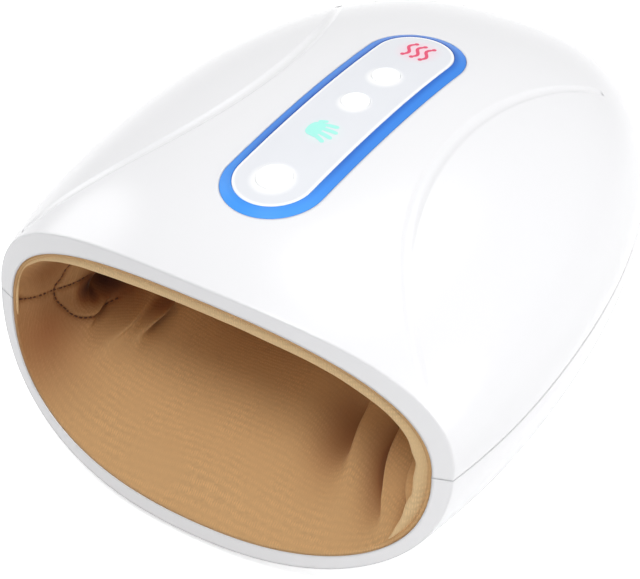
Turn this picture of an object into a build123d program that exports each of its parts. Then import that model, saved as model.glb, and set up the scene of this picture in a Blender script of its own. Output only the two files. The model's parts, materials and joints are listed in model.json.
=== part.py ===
from build123d import *
import os
from math import atan2, cos, hypot, pi, radians, sin

# A hand massager: a hollow two-part egg of glossy plastic with a fabric-lined mouth for one hand,
# a control strip on its crown, airbags and a heated nodule plate round the hand, and the pump,
# valves, battery and charging socket behind and below it. Millimetres. The mouth faces -Y, +Z is up,
# and the origin is the centre of the bounding box at the plane that the feet stand on.

os.makedirs("parts", exist_ok=True)

# Overall form, before the mouth is cut and the base is flattened
body_length = 208.0
body_width = 175.2
crown_height = 49.1
keel_depth = 47.5
base_flat = 2.0
foot_stand = 2.5
wall = 2.5
tail_overrun = 1.4
overrun = 3.0

# How the form swells and closes, measured back from the lower lip
widest_setback = 68.3
highest_setback = 58.8
deepest_setback = 92.7
lip_half_width = 75.3
lip_crown_height = 36.5
lip_keel_depth = 45.4
plan_roundness = 2.25
crown_roundness = 2.17
keel_roundness = 2.2
front_top_squareness = 2.13
rear_top_squareness = 2.53
front_bottom_squareness = 2.66
rear_bottom_squareness = 2.09
station_shares = (0.0, 0.1, 0.21, 0.32, 0.43, 0.54, 0.65, 0.75, 0.83, 0.9, 0.95, 0.98, 1.0)
section_steps = 14

# The mouth: a face that bulges in plan and leans back, with an inward flange round the opening
front_radius = 256.0
front_lean = 11.4
flange_thickness = 2.4
mouth_half_width = 76.3
mouth_top = 38.3
mouth_bottom = 40.7
mouth_cut_length = 44.7

# The joint between the shells, their bosses and screws
tongue_height = 1.6
joint_clearance = 0.1
boss_diameter = 7.6
pilot_diameter = 2.6
screw_diameter = 2.5
screw_clearance = 0.3
screw_head_diameter = 4.8
screw_head_height = 1.6
screw_grip = 12.0
screw_bite = 11.0
side_boss_x = 72.0
rear_boss_x = 52.0
front_boss_setback = 44.7
middle_boss_setback = 117.7
rear_boss_setback = 172.7

# Shoulder creases, given by the plan circle that each follows
crease_radius = 4.0
crease_depth = 0.75
crease_front = (72.1, 26.3)
crease_middle = (33.6, 116.0)
crease_rear = (49.7, 171.4)
crease_points = 15

# Control strip on the crown
strip_length = 110.0
strip_width = 33.4
strip_setback = 99.7
band_width = 3.7
panel_rise = 1.3
panel_ledge_depth = 1.5
ledge_width = 2.0
skirt_width = 4.4
skirt_thickness = 1.6
fit_clearance = 0.15
panel_edge_radius = 0.4

# Control board under the strip
board_drop = 6.6
board_thickness = 1.6
board_width = 39.0
board_length = 104.0
board_corner = 6.0
board_post_diameter = 4.6
board_post_x = 17.0
board_post_spacing = 92.0
board_screw_diameter = 1.8
board_screw_length = 6.0

# Buttons and their switches, and the two lit signs
power_radius = 5.6
small_radius = 4.4
power_setback = 60.4
mode_setback = 104.0
strength_setback = 121.3
hand_sign_setback = 86.6
heat_sign_setback = 140.8
button_proud = 0.45
button_collar = 1.2
collar_thickness = 1.0
button_travel = 0.5
button_edge_radius = 0.35
stem_radius = 1.9
switch_side = 6.2
switch_height = 3.5
switch_bore_depth = 1.6
plunger_radius = 1.7
plunger_clearance = 0.06
plunger_rise = 1.0
light_box_length = 11.0
light_box_width = 13.4
light_box_wall = 1.2
lamp_length = 2.0
lamp_width = 1.6
lamp_height = 0.8
ring_lamp_count = 6
chip_side = 9.0
chip_height = 1.4
connector_width = 8.0
connector_length = 5.0
connector_x = 12.0
connector_y = 24.0
buzzer_diameter = 9.0
buzzer_height = 4.0

# Fabric pouch: it funnels in from the mouth to a flat pocket and closes round the fingertips
pouch_thickness = 1.6
pouch_gap = 0.3
cavity_half_height = 12.0
pouch_half_width = 64.0
pouch_depth = 168.0
pouch_squareness = 2.5
pouch_mouth_margin = 0.5
collar_length = 26.0
funnel_length = 40.0
funnel_shares = (0.0, 0.33, 0.66, 1.0)
pocket_shares = (0.35, 0.6, 0.8, 0.92, 1.0)
pocket_end_share = 0.3

# Retaining ring behind the mouth flange
retainer_width = 3.6
retainer_depth = 5.0

# Stack above and below the hand
frame_thickness = 2.2
frame_inset = 4.5
frame_boss_clearance = 1.0
frame_front_setback = 60.7
frame_rear_setback = 168.7
airbag_thickness = 11.0
airbag_edge = 3.6
palm_width = 104.0
palm_length = 46.0
palm_setback = 92.7
finger_width = 88.0
finger_length = 40.0
finger_setback = 140.7
airbag_neck = 22.0
nodule_radius = 3.4
nodule_height = 1.6
nodule_pitch = 14.5
nodule_taper = 40.0
nodule_rows = 6
nodule_columns = 6
nodule_plate_thickness = 1.5
nodule_plate_width = 96.0
nodule_plate_length = 88.0
nodule_plate_setback = 111.7
heater_thickness = 0.6
heater_width = 88.0
heater_length = 80.0
frame_post_diameter = 7.0
frame_post_x = 54.0
frame_post_front_setback = 72.0
frame_post_rear_setback = 136.0

# Pump, valves and tubes in the tail
pump_setback = 183.7
motor_diameter = 24.0
motor_length = 30.0
motor_can_wall = 1.2
motor_edge = 1.5
pump_left_x = 32.0
head_length = 26.0
head_side = 25.0
head_wall = 2.5
head_corner = 4.0
shaft_diameter = 2.0
shaft_clearance = 0.04
bearing_diameter = 6.0
bearing_length = 2.6
crank_diameter = 9.0
crank_length = 4.0
crank_throw = 2.6
crank_pin_diameter = 2.0
crank_pin_length = 3.0
rotor_diameter = 17.0
rotor_length = 16.0
rotor_slots = 3
rotor_slot_width = 2.2
sleeve_thickness = 2.0
sleeve_length = 20.0
cradle_thickness = 2.4
cradle_spacing = 12.0
valve_side = 9.0
valve_length = 13.0
valve_front_setback = 172.0
valve_plunger_radius = 2.0
valve_plunger_length = 7.0
valve_travel = 0.8
valve_clearance = 0.06
bracket_gap = 0.2
port_radius = 1.2
port_length = 3.0
tube_radius = 2.0
tube_clearance = 0.05
tube_bend = 8.0
tee_side = 4.6

# Battery below the lower frame
battery_length = 58.0
battery_width = 42.0
battery_height = 9.6
battery_edge = 1.5
battery_setback = 92.0
bay_wall = 1.6
bay_height = 5.0
bay_clearance = 0.4

# Charging socket and its board in the flat of the tail
socket_width = 9.0
socket_height = 3.3
socket_depth = 7.4
socket_wall = 0.4
socket_drop = 4.2
socket_recess = 0.5
tongue_width = 6.6
tongue_thickness = 0.7
charge_board_width = 17.0
charge_board_length = 8.0
charge_board_thickness = 1.0
charge_post_diameter = 3.2

# Feet on the flat base
foot_diameter = 12.0
foot_recess = 0.8
foot_edge = 0.6
foot_pad_diameter = 15.0
foot_pad_height = 6.0
foot_x = 28.0
foot_front_setback = 54.0
foot_rear_setback = 131.0

# Places that follow from the sizes above
lip_y = -body_length / 2
rear_y = body_length / 2
base_z = foot_stand
parting_z = foot_stand + keel_depth - base_flat
crown_z = parting_z + crown_height
floor_z = base_z + wall
UP = 1
DOWN = -1


def back(setback):
    """Y of a place that lies this far behind the lower lip."""
    return lip_y + setback


def swell(y, peak, peak_setback, lip_size, roundness, inset=0.0):
    """Half size of the form at Y: it eases from the lip up to its peak, then rounds off to the tail."""
    peak_y = back(peak_setback)
    if y < peak_y:
        share = (peak_y - y) / peak_setback
        return peak - inset - (peak - lip_size) * share**2
    share = (y - peak_y) / (rear_y + tail_overrun - inset - peak_y)
    return (peak - inset) * (1 - share**roundness) ** (1 / roundness)


def half_width(y, inset=0.0):
    return swell(y, body_width / 2, widest_setback, lip_half_width, plan_roundness, inset)


def crown(y, inset=0.0):
    """Height of the form above the parting plane, on the centre line."""
    return swell(y, crown_height, highest_setback, lip_crown_height, crown_roundness, inset)


def keel(y, inset=0.0):
    """Depth of the form below the parting plane, on the centre line."""
    return swell(y, keel_depth, deepest_setback, lip_keel_depth, keel_roundness, inset)


def squareness(y, side):
    share = (y - lip_y) / body_length
    if side == UP:
        return front_top_squareness + (rear_top_squareness - front_top_squareness) * share
    return front_bottom_squareness + (rear_bottom_squareness - front_bottom_squareness) * share


def arch_points(width, height, exponent, steps=section_steps):
    """Points of half a superellipse, from its right end over the top to its left end."""
    points = []
    for step in range(steps + 1):
        angle = pi * step / steps
        across = abs(cos(angle)) ** (2 / exponent)
        along = abs(sin(angle)) ** (2 / exponent)
        side = 1 if step * 2 < steps else -1
        points.append((side * width * across, height * along))
    return points


def station_plane(y):
    """A section plane that looks forward, with its X across the body and its Y up."""
    return Plane(origin=(0, y, parting_z), x_dir=(1, 0, 0), z_dir=(0, -1, 0))


def form(side, inset=0.0):
    """Upper or lower half of the closed form, with its skin moved inwards by the inset."""
    with BuildPart() as half:
        for share in station_shares:
            y = back(body_length * share)
            if share == 0:
                y -= overrun
            if share == 1:
                y -= inset
            height = crown(y, inset) if side == UP else keel(y, inset)
            points = arch_points(half_width(y, inset), side * height, squareness(y, side))
            with BuildSketch(station_plane(y)):
                with BuildLine():
                    Spline(points)
                    Line(points[-1], points[0])
                make_face()
        loft()
    return half.part


lean = radians(front_lean)
front_plane = Plane(
    origin=(0, lip_y + front_radius * cos(lean), parting_z - lip_keel_depth - front_radius * sin(lean)),
    x_dir=(1, 0, 0),
    z_dir=(0, sin(lean), cos(lean)),
)


def behind_front(depth):
    """Everything that lies at least this far behind the curved face of the mouth."""
    with BuildPart() as drum:
        with BuildSketch(front_plane):
            Circle(front_radius - depth)
        extrude(amount=body_length * 2, both=True)
    return drum.part


def mouth_face(margin):
    """Section of the mouth, larger all round by the margin, on a plane ahead of the lip."""
    width = mouth_half_width + margin
    with BuildSketch(station_plane(lip_y - overrun)) as section:
        with BuildLine():
            Spline(arch_points(width, mouth_top + margin, front_top_squareness))
            Spline(arch_points(width, -mouth_bottom - margin, front_bottom_squareness))
        make_face()
    return section.sketch


def slab(low, high):
    """The whole layer between two heights."""
    with BuildPart() as layer:
        with BuildSketch(Plane.XY.offset(low)):
            Rectangle(body_width * 2, body_length * 2)
        extrude(amount=high - low)
    return layer.part


def columns(places, diameter, low, high):
    """Upright cylinders between two heights."""
    with BuildPart() as group:
        with BuildSketch(Plane.XY.offset(low)):
            with Locations(*places):
                Circle(diameter / 2)
        extrude(amount=high - low)
    return group.part


def mirrored(places):
    return [(side * x, y) for x, y in places for side in (1, -1)]


def save(sketch_part, name):
    sketch_part.label = name
    export_step(sketch_part, f"parts/{name}.step")


upper_skin = form(UP)
upper_middle = form(UP, wall / 2)
upper_hollow = form(UP, wall)
lower_skin = form(DOWN)
lower_middle = form(DOWN, wall / 2)
lower_hollow = form(DOWN, wall)
behind_flange = behind_front(flange_thickness)

# Bosses and the screws that close the shells from below
shell_bosses = mirrored(
    [
        (side_boss_x, back(front_boss_setback)),
        (side_boss_x, back(middle_boss_setback)),
        (rear_boss_x, back(rear_boss_setback)),
    ]
)
frame_posts = mirrored(
    [(frame_post_x, back(frame_post_front_setback)), (frame_post_x, back(frame_post_rear_setback))]
)
upper_frame_z = parting_z + cavity_half_height + pouch_gap + airbag_thickness + pouch_gap
nodule_plate_top = parting_z - cavity_half_height - pouch_gap - nodule_height
heater_top = nodule_plate_top - nodule_plate_thickness - pouch_gap
lower_bag_top = heater_top - heater_thickness - pouch_gap
lower_frame_top = lower_bag_top - airbag_thickness - pouch_gap
lower_frame_z = lower_frame_top - frame_thickness

# The strip's own plane: it lies along the chord of the crown under the strip
strip_y = back(strip_setback)
strip_front_y = strip_y - strip_length / 2
strip_rear_y = strip_y + strip_length / 2
strip_fall = crown(strip_front_y) - crown(strip_rear_y)
strip_pitch = atan2(strip_fall, strip_length)
board_top_z = parting_z + (crown(strip_front_y) + crown(strip_rear_y)) / 2 - board_drop
board_plane = Plane(
    origin=(0, strip_y, board_top_z), x_dir=(1, 0, 0), z_dir=(0, sin(strip_pitch), cos(strip_pitch))
)


def on_board(y):
    """Y on the board's own plane of a place at Y of the row, seen from above."""
    return (y - strip_y) / cos(strip_pitch)


def strip_prism(width, length):
    """An upright slot-shaped prism through the crown under the strip."""
    with BuildPart() as prism:
        with BuildSketch(Plane.XY.offset(parting_z + cavity_half_height)):
            with Locations((0, strip_y)):
                SlotOverall(length, width, rotation=90)
        extrude(amount=crown_height)
    return prism.part


# Upper shell
def crease_path(side):
    """The crease's centre line: a plan arc laid on the crown, which lifts clear of it at both ends."""
    front = Vector(crease_front[0], back(crease_front[1]))
    middle = Vector(crease_middle[0], back(crease_middle[1]))
    rear = Vector(crease_rear[0], back(crease_rear[1]))
    plan = ThreePointArc(front, middle, rear)
    points = []
    for step in range(crease_points):
        share = step / (crease_points - 1)
        spot = plan @ share
        width = half_width(spot.Y)
        exponent = squareness(spot.Y, UP)
        slack = 1 - (spot.X / width) ** exponent
        height = crown(spot.Y) * slack ** (1 / exponent)
        bite = crease_depth * sin(pi * share) ** 0.7
        lift = crease_radius - bite
        slope_x = (spot.X / width) ** (exponent - 1) / width
        slope_z = (height / crown(spot.Y)) ** (exponent - 1) / crown(spot.Y)
        length = hypot(slope_x, slope_z)
        points.append(
            (side * (spot.X + lift * slope_x / length), spot.Y, parting_z + height + lift * slope_z / length)
        )
    return points


def crease_tool(side):
    points = crease_path(side)
    with BuildPart() as groove:
        with BuildLine():
            route = Spline(points)
        with BuildSketch(Plane(origin=route @ 0, z_dir=route % 0)):
            Circle(crease_radius)
        sweep()
    return groove.part


with BuildPart() as cavity_above:
    add(upper_hollow)
    add(behind_flange, mode=Mode.INTERSECT)

with BuildPart() as cavity_below:
    add(lower_hollow)
    add(behind_flange, mode=Mode.INTERSECT)
    add(slab(floor_z, parting_z), mode=Mode.INTERSECT)

# The rebate that takes the lower shell's tongue runs inside the wall, behind the flange
with BuildPart() as rebate:
    add(upper_middle)
    add(slab(parting_z, parting_z + tongue_height + joint_clearance), mode=Mode.INTERSECT)
    add(behind_flange, mode=Mode.INTERSECT)

boss_foot_z = parting_z + tongue_height + joint_clearance
with BuildPart() as upper_bosses:
    add(columns(shell_bosses, boss_diameter, boss_foot_z, crown_z))
    add(columns(frame_posts, frame_post_diameter, upper_frame_z + frame_thickness, crown_z))
    add(upper_middle, mode=Mode.INTERSECT)

with BuildPart() as upper_shell:
    add(upper_skin)
    add(behind_front(0), mode=Mode.INTERSECT)
    add(cavity_above.part, mode=Mode.SUBTRACT)
    extrude(mouth_face(0), amount=-mouth_cut_length, mode=Mode.SUBTRACT)
    add(rebate.part, mode=Mode.SUBTRACT)
    add(strip_prism(strip_width, strip_length), mode=Mode.SUBTRACT)
    add(upper_bosses.part)
    add(columns(shell_bosses, pilot_diameter, boss_foot_z, boss_foot_z + screw_bite), mode=Mode.SUBTRACT)
    post_top = upper_frame_z + frame_thickness + board_screw_length
    add(columns(frame_posts, board_screw_diameter, parting_z, post_top), mode=Mode.SUBTRACT)
    add(crease_tool(1), mode=Mode.SUBTRACT)
    add(crease_tool(-1), mode=Mode.SUBTRACT)
save(upper_shell.part, "upper_shell")

# Lower shell: bowl with a flat base, tongue, screw bosses with head wells, frame posts and battery bay
with BuildPart() as tongue:
    add(form(UP, wall / 2 + joint_clearance))
    add(upper_hollow, mode=Mode.SUBTRACT)
    add(slab(parting_z - overrun, parting_z + tongue_height), mode=Mode.INTERSECT)
    add(behind_front(flange_thickness + joint_clearance), mode=Mode.INTERSECT)

well_top_z = boss_foot_z - screw_grip
with BuildPart() as lower_bosses:
    add(columns(shell_bosses, boss_diameter, base_z, parting_z))
    add(columns(frame_posts, frame_post_diameter, base_z, lower_frame_z))
    add(lower_middle, mode=Mode.INTERSECT)

socket_z = parting_z - socket_drop
charge_board_top = socket_z - socket_height / 2
charge_board_z = charge_board_top - charge_board_thickness
charge_board_y = rear_y - wall - bay_clearance - charge_board_length
charge_posts = [(side * charge_board_width / 3, charge_board_y + charge_board_length / 2) for side in (1, -1)]

with BuildPart() as battery_bay:
    with BuildSketch(Plane.XY.offset(floor_z)):
        with Locations((0, back(battery_setback))):
            bay_inner_width = battery_width + 2 * bay_clearance
            bay_inner_length = battery_length + 2 * bay_clearance
            Rectangle(bay_inner_width + 2 * bay_wall, bay_inner_length + 2 * bay_wall)
            Rectangle(bay_inner_width, bay_inner_length, mode=Mode.SUBTRACT)
            Rectangle(bay_inner_width / 2, bay_inner_length * 2, mode=Mode.SUBTRACT)
            Rectangle(bay_inner_width * 2, bay_inner_length / 2, mode=Mode.SUBTRACT)
    extrude(amount=bay_height)

# Saddle ribs that carry the motor in its rubber sleeve
pump_y = back(pump_setback)
pump_z = parting_z
motor_left = -pump_left_x
sleeve_left = motor_left + (motor_length - sleeve_length) / 2
saddle_radius = motor_diameter / 2 + sleeve_thickness
saddle_xs = [sleeve_left + (sleeve_length - cradle_spacing) / 2 + shift for shift in (0, cradle_spacing)]


def saddles(low, high, clip):
    """Ribs across the tail, cut out round the motor's sleeve, down or up to the middle of the wall."""
    with BuildPart() as ribs:
        for rib_x in saddle_xs:
            with BuildSketch(Plane.XY.offset(low)):
                with Locations((rib_x, pump_y)):
                    Rectangle(cradle_thickness, 2 * saddle_radius)
            extrude(amount=high - low)
        with BuildSketch(Plane(origin=(motor_left, pump_y, pump_z), z_dir=(1, 0, 0))):
            Circle(saddle_radius)
        extrude(amount=motor_length, mode=Mode.SUBTRACT)
        add(clip, mode=Mode.INTERSECT)
    return ribs.part


foot_places = mirrored([(foot_x, back(foot_front_setback)), (foot_x, back(foot_rear_setback))])
with BuildPart() as lower_shell:
    add(lower_skin)
    add(behind_front(0), mode=Mode.INTERSECT)
    add(slab(base_z, parting_z), mode=Mode.INTERSECT)
    add(columns(foot_places, foot_pad_diameter, base_z, base_z + foot_pad_height))
    add(cavity_below.part, mode=Mode.SUBTRACT)
    extrude(mouth_face(0), amount=-mouth_cut_length, mode=Mode.SUBTRACT)
    add(tongue.part)
    add(lower_bosses.part)
    add(columns(charge_posts, charge_post_diameter, base_z, charge_board_z) & lower_middle)
    add(battery_bay.part)
    add(saddles(base_z, pump_z - joint_clearance, lower_middle))
    add(columns(shell_bosses, screw_diameter + screw_clearance, base_z, parting_z), mode=Mode.SUBTRACT)
    well_diameter = screw_head_diameter + 2 * screw_clearance
    add(columns(shell_bosses, well_diameter, 0, well_top_z), mode=Mode.SUBTRACT)
    pilot_bottom = lower_frame_z - board_screw_length
    add(columns(frame_posts, board_screw_diameter, pilot_bottom, lower_frame_z), mode=Mode.SUBTRACT)
    with BuildSketch(Plane(origin=(0, rear_y + overrun, socket_z), x_dir=(1, 0, 0), z_dir=(0, -1, 0))):
        slot_height = socket_height + 2 * fit_clearance
        SlotOverall(socket_width + 2 * fit_clearance, slot_height)
    extrude(amount=overrun + wall * 2, mode=Mode.SUBTRACT)
    socket_diameter = foot_diameter + 2 * fit_clearance
    add(columns(foot_places, socket_diameter, 0, base_z + foot_recess), mode=Mode.SUBTRACT)
save(lower_shell.part, "lower_shell")


def on_board_plane(height):
    """The control board's plane, raised by the height along its own normal."""
    return board_plane.offset(height)


def board_height(y, inset):
    """Height above the control board of the crown's centre line at Y, under the inset."""
    rise = parting_z + crown(y, inset) - board_top_z
    return rise * cos(strip_pitch) + (y - strip_y) * sin(strip_pitch)


def board_columns(places, radius, low, high):
    """Cylinders square to the control board, between two heights above it."""
    with BuildPart() as group:
        with BuildSketch(on_board_plane(low)):
            with Locations(*places):
                Circle(radius)
        extrude(amount=high - low)
    return group.part


# Light ring: a translucent band that rises to the panel, on a skirt under the crown
panel_width = strip_width - 2 * band_width
panel_length = strip_length - 2 * band_width
skirt_top_inset = wall + joint_clearance
raised_skin = form(UP, -panel_rise)
ledge_form = form(UP, panel_ledge_depth)
skirt_top_form = form(UP, skirt_top_inset)
skirt_under_form = form(UP, skirt_top_inset + skirt_thickness)
board_posts = [
    (side * board_post_x, end * board_post_spacing / 2) for side in (1, -1) for end in (1, -1)
]
with BuildPart() as light_ring:
    add(strip_prism(strip_width - 2 * fit_clearance, strip_length - 2 * fit_clearance))
    add(raised_skin, mode=Mode.INTERSECT)
    crown_edges = light_ring.faces().sort_by(Axis.Z)[-1].outer_wire().edges()
    chamfer(crown_edges, length=panel_rise, length2=band_width - fit_clearance * 2)
    add(strip_prism(strip_width + 2 * skirt_width, strip_length + 2 * skirt_width) & skirt_top_form)
    add(skirt_under_form, mode=Mode.SUBTRACT)
    add(board_columns(board_posts, board_post_diameter / 2, 0, crown_height) & skirt_top_form)
    add(strip_prism(panel_width, panel_length) - ledge_form, mode=Mode.SUBTRACT)
    ledge_opening_width = panel_width - 2 * ledge_width
    add(strip_prism(ledge_opening_width, panel_length - 2 * ledge_width), mode=Mode.SUBTRACT)
    add(board_columns(board_posts, board_screw_diameter / 2, 0, board_screw_length), mode=Mode.SUBTRACT)
save(light_ring.part, "light_ring")

# Control panel: a slot-shaped cap that sits on the ring's ledge, with a hole for each button
buttons = {
    "power_button": (power_setback, power_radius),
    "mode_button": (mode_setback, small_radius),
    "strength_button": (strength_setback, small_radius),
}
with BuildPart() as control_panel:
    add(strip_prism(panel_width - 2 * fit_clearance, panel_length - 2 * fit_clearance))
    add(raised_skin, mode=Mode.INTERSECT)
    panel_edges = control_panel.faces().sort_by(Axis.Z)[-1].outer_wire().edges()
    fillet(panel_edges, radius=panel_edge_radius)
    add(ledge_form, mode=Mode.SUBTRACT)
    for setback, radius in buttons.values():
        place = [(0, on_board(back(setback)))]
        add(board_columns(place, radius + fit_clearance, 0, crown_height), mode=Mode.SUBTRACT)
save(control_panel.part, "control_panel")

# Buttons, each with a collar under the panel and a stem down to its switch
proud_skin = form(UP, -panel_rise - button_proud)
stem_foot = switch_height + plunger_rise
for name, (setback, radius) in buttons.items():
    y = back(setback)
    reach = radius + button_collar
    panel_under = min(board_height(y - reach, panel_ledge_depth), board_height(y + reach, panel_ledge_depth))
    collar_top = panel_under - fit_clearance
    collar_foot = collar_top - collar_thickness
    place = [(0, on_board(y))]
    with BuildPart() as button:
        add(board_columns(place, radius, collar_top, crown_height))
        add(proud_skin, mode=Mode.INTERSECT)
        fillet(button.edges().group_by(Axis.Z)[-1], radius=button_edge_radius)
        add(board_columns(place, reach, collar_foot, collar_top))
        add(board_columns(place, stem_radius, stem_foot, collar_foot))
    save(button.part, name)

# Plungers of the switches: each moves with its button
plunger_foot = switch_height - switch_bore_depth + button_travel + fit_clearance
for name, (setback, radius) in buttons.items():
    place = [(0, on_board(back(setback)))]
    with BuildPart() as plunger:
        add(board_columns(place, plunger_radius, plunger_foot, stem_foot))
    save(plunger.part, name.replace("button", "plunger"))

with BuildPart() as tactile_switches:
    places = [(0, on_board(back(setback))) for setback, radius in buttons.values()]
    with BuildSketch(board_plane):
        with Locations(*places):
            Rectangle(switch_side, switch_side)
    extrude(amount=switch_height)
    bore_foot = switch_height - switch_bore_depth
    bore = board_columns(places, plunger_radius + plunger_clearance, bore_foot, switch_height)
    add(bore, mode=Mode.SUBTRACT)
save(tactile_switches.part, "tactile_switches")

# Control board with its screws, lamps, light boxes and the parts on its underside
with BuildPart() as control_board:
    with BuildSketch(on_board_plane(-board_thickness)):
        RectangleRounded(board_width, board_length, board_corner)
        with Locations(*board_posts):
            Circle(board_screw_diameter / 2, mode=Mode.SUBTRACT)
    extrude(amount=board_thickness)
save(control_board.part, "control_board")


def cross_head_screws(plane, places, shank_diameter, shank_length, head_diameter, head_height):
    """Pan-head screws whose shanks rise from the plane and whose heads lie below it."""
    with BuildPart() as screws:
        with BuildSketch(plane.offset(-head_height)):
            with Locations(*places):
                Circle(head_diameter / 2)
        extrude(amount=head_height)
        fillet(screws.edges().group_by(Axis.Z)[0], radius=head_height / 3)
        with BuildSketch(plane.offset(-head_height)):
            with Locations(*places):
                Rectangle(head_diameter / 2, head_height / 3)
                Rectangle(head_height / 3, head_diameter / 2)
        extrude(amount=head_height / 2, mode=Mode.SUBTRACT)
        with BuildSketch(plane):
            with Locations(*places):
                Circle(shank_diameter / 2)
        extrude(amount=shank_length)
    return screws.part


small_shank = board_screw_diameter - 2 * joint_clearance
small_head = board_screw_diameter * 2
small_head_height = screw_head_height / 2
under_board = on_board_plane(-board_thickness)
board_screws = cross_head_screws(
    under_board, board_posts, small_shank, board_screw_length, small_head, small_head_height
)
save(board_screws, "board_screws")

signs = [(0, on_board(back(setback))) for setback in (hand_sign_setback, heat_sign_setback)]
with BuildPart() as light_boxes:
    with BuildSketch(board_plane):
        with Locations(*signs):
            Rectangle(light_box_width, light_box_length)
            inner_width = light_box_width - 2 * light_box_wall
            inner_length = light_box_length - 2 * light_box_wall
            Rectangle(inner_width, inner_length, mode=Mode.SUBTRACT)
    extrude(amount=crown_height)
    add(form(UP, panel_ledge_depth + fit_clearance), mode=Mode.INTERSECT)
save(light_boxes.part, "light_boxes")

lamp_x = (strip_width - band_width) / 2
lamp_pitch = board_post_spacing / (ring_lamp_count + 1)
ring_lamp_places = [
    (side * lamp_x, (index - (ring_lamp_count - 1) / 2) * lamp_pitch)
    for index in range(ring_lamp_count)
    for side in (1, -1)
]
with BuildPart() as lamps:
    with BuildSketch(board_plane):
        with Locations(*ring_lamp_places, *signs):
            Rectangle(lamp_width, lamp_length)
    extrude(amount=lamp_height)
save(lamps.part, "lamps")

with BuildPart() as board_parts:
    with BuildSketch(under_board):
        Rectangle(chip_side, chip_side)
        with Locations(*mirrored([(connector_x, connector_y)])):
            Rectangle(connector_width, connector_length)
    extrude(amount=-chip_height)
save(board_parts.part, "board_parts")

with BuildPart() as buzzer:
    with BuildSketch(under_board):
        with Locations((0, -connector_y)):
            Circle(buzzer_diameter / 2)
    extrude(amount=-buzzer_height)
    with BuildSketch(on_board_plane(-board_thickness - buzzer_height)):
        with Locations((0, -connector_y)):
            Circle(port_radius)
    extrude(amount=buzzer_height / 2, mode=Mode.SUBTRACT)
save(buzzer.part, "buzzer")

# Frames above and below the hand, each cut to the inside of its shell
def hand_frame(side, low):
    with BuildPart() as frame:
        with BuildSketch(Plane.XY.offset(low)):
            frame_length = frame_rear_setback - frame_front_setback
            with Locations((0, back(frame_front_setback + frame_length / 2))):
                Rectangle(body_width, frame_length)
            with Locations((0, back(palm_setback)), (0, back(finger_setback))):
                SlotOverall(finger_width / 2, airbag_neck / 2, mode=Mode.SUBTRACT)
            with Locations(*frame_posts):
                Circle(board_screw_diameter / 2 + joint_clearance, mode=Mode.SUBTRACT)
        extrude(amount=frame_thickness)
        add(form(side, frame_inset), mode=Mode.INTERSECT)
        passage = boss_diameter + 2 * frame_boss_clearance
        add(columns(shell_bosses, passage, base_z, crown_z), mode=Mode.SUBTRACT)
    return frame.part


upper_frame = hand_frame(UP, upper_frame_z)
save(upper_frame, "upper_frame")
lower_frame = hand_frame(DOWN, lower_frame_z)
save(lower_frame, "lower_frame")

upper_screw_plane = Plane.XY.offset(upper_frame_z)
upper_screws = cross_head_screws(
    upper_screw_plane, frame_posts, small_shank, board_screw_length, small_head, small_head_height
)
save(upper_screws, "upper_frame_screws")
lower_screw_plane = Plane(origin=(0, 0, lower_frame_top), z_dir=(0, 0, -1))
flipped_posts = [(x, -y) for x, y in frame_posts]
lower_screws = cross_head_screws(
    lower_screw_plane, flipped_posts, small_shank, board_screw_length, small_head, small_head_height
)
save(lower_screws, "lower_frame_screws")
shell_screws = cross_head_screws(
    Plane.XY.offset(well_top_z),
    shell_bosses,
    screw_diameter,
    screw_grip + screw_bite - tongue_height,
    screw_head_diameter,
    screw_head_height,
)
save(shell_screws, "shell_screws")

# Fabric pouch for the hand, open at the mouth
def funnel_size(share, mouth_size, pocket_size):
    """Size that eases from the mouth into the flat pocket."""
    ease = 1 - (1 - share) ** 2
    return mouth_size + (pocket_size - mouth_size) * ease


def pouch_form(inset):
    """Closed form of the pouch, with its skin moved inwards by the inset."""
    hem_width = mouth_half_width - pouch_mouth_margin
    hem_top = mouth_top - pouch_mouth_margin
    hem_bottom = mouth_bottom - pouch_mouth_margin
    hem = (hem_width, hem_top, hem_bottom, front_top_squareness, front_bottom_squareness)
    pocket = (pouch_half_width, cavity_half_height, cavity_half_height, pouch_squareness, pouch_squareness)
    sections = [(0, *hem), (collar_length / 2, *hem)]
    for share in funnel_shares:
        sizes = [funnel_size(share, size, end) for size, end in zip(hem, pocket)]
        sections.append((collar_length + share * funnel_length, *sizes))
    pocket_start = collar_length + funnel_length
    pocket_length = pouch_depth - pocket_start
    for share in pocket_shares:
        taper = (1 - (share * (1 - pocket_end_share / 4)) ** 3) ** (1 / 3)
        height = cavity_half_height * (1 - pocket_end_share * share**6)
        setback = pocket_start + pocket_length * share
        sections.append((setback, pouch_half_width * taper, height, height, *pocket[3:]))
    with BuildPart() as bag:
        for setback, width, top, bottom, top_squareness, bottom_squareness in sections:
            y = back(setback) if setback else lip_y - overrun
            if setback == pouch_depth:
                y -= inset
            with BuildSketch(station_plane(y)):
                with BuildLine():
                    Spline(arch_points(width - inset, top - inset, top_squareness))
                    Spline(arch_points(width - inset, inset - bottom, bottom_squareness))
                make_face()
        loft()
        extrude(mouth_face(-pouch_mouth_margin - inset), amount=-body_length, mode=Mode.INTERSECT)
    return bag.part


pouch_skin = pouch_form(0)
with BuildPart() as pouch:
    add(pouch_skin)
    add(behind_front(flange_thickness / 2), mode=Mode.INTERSECT)
    add(pouch_form(pouch_thickness), mode=Mode.SUBTRACT)
save(pouch.part, "fabric_pouch")

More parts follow.
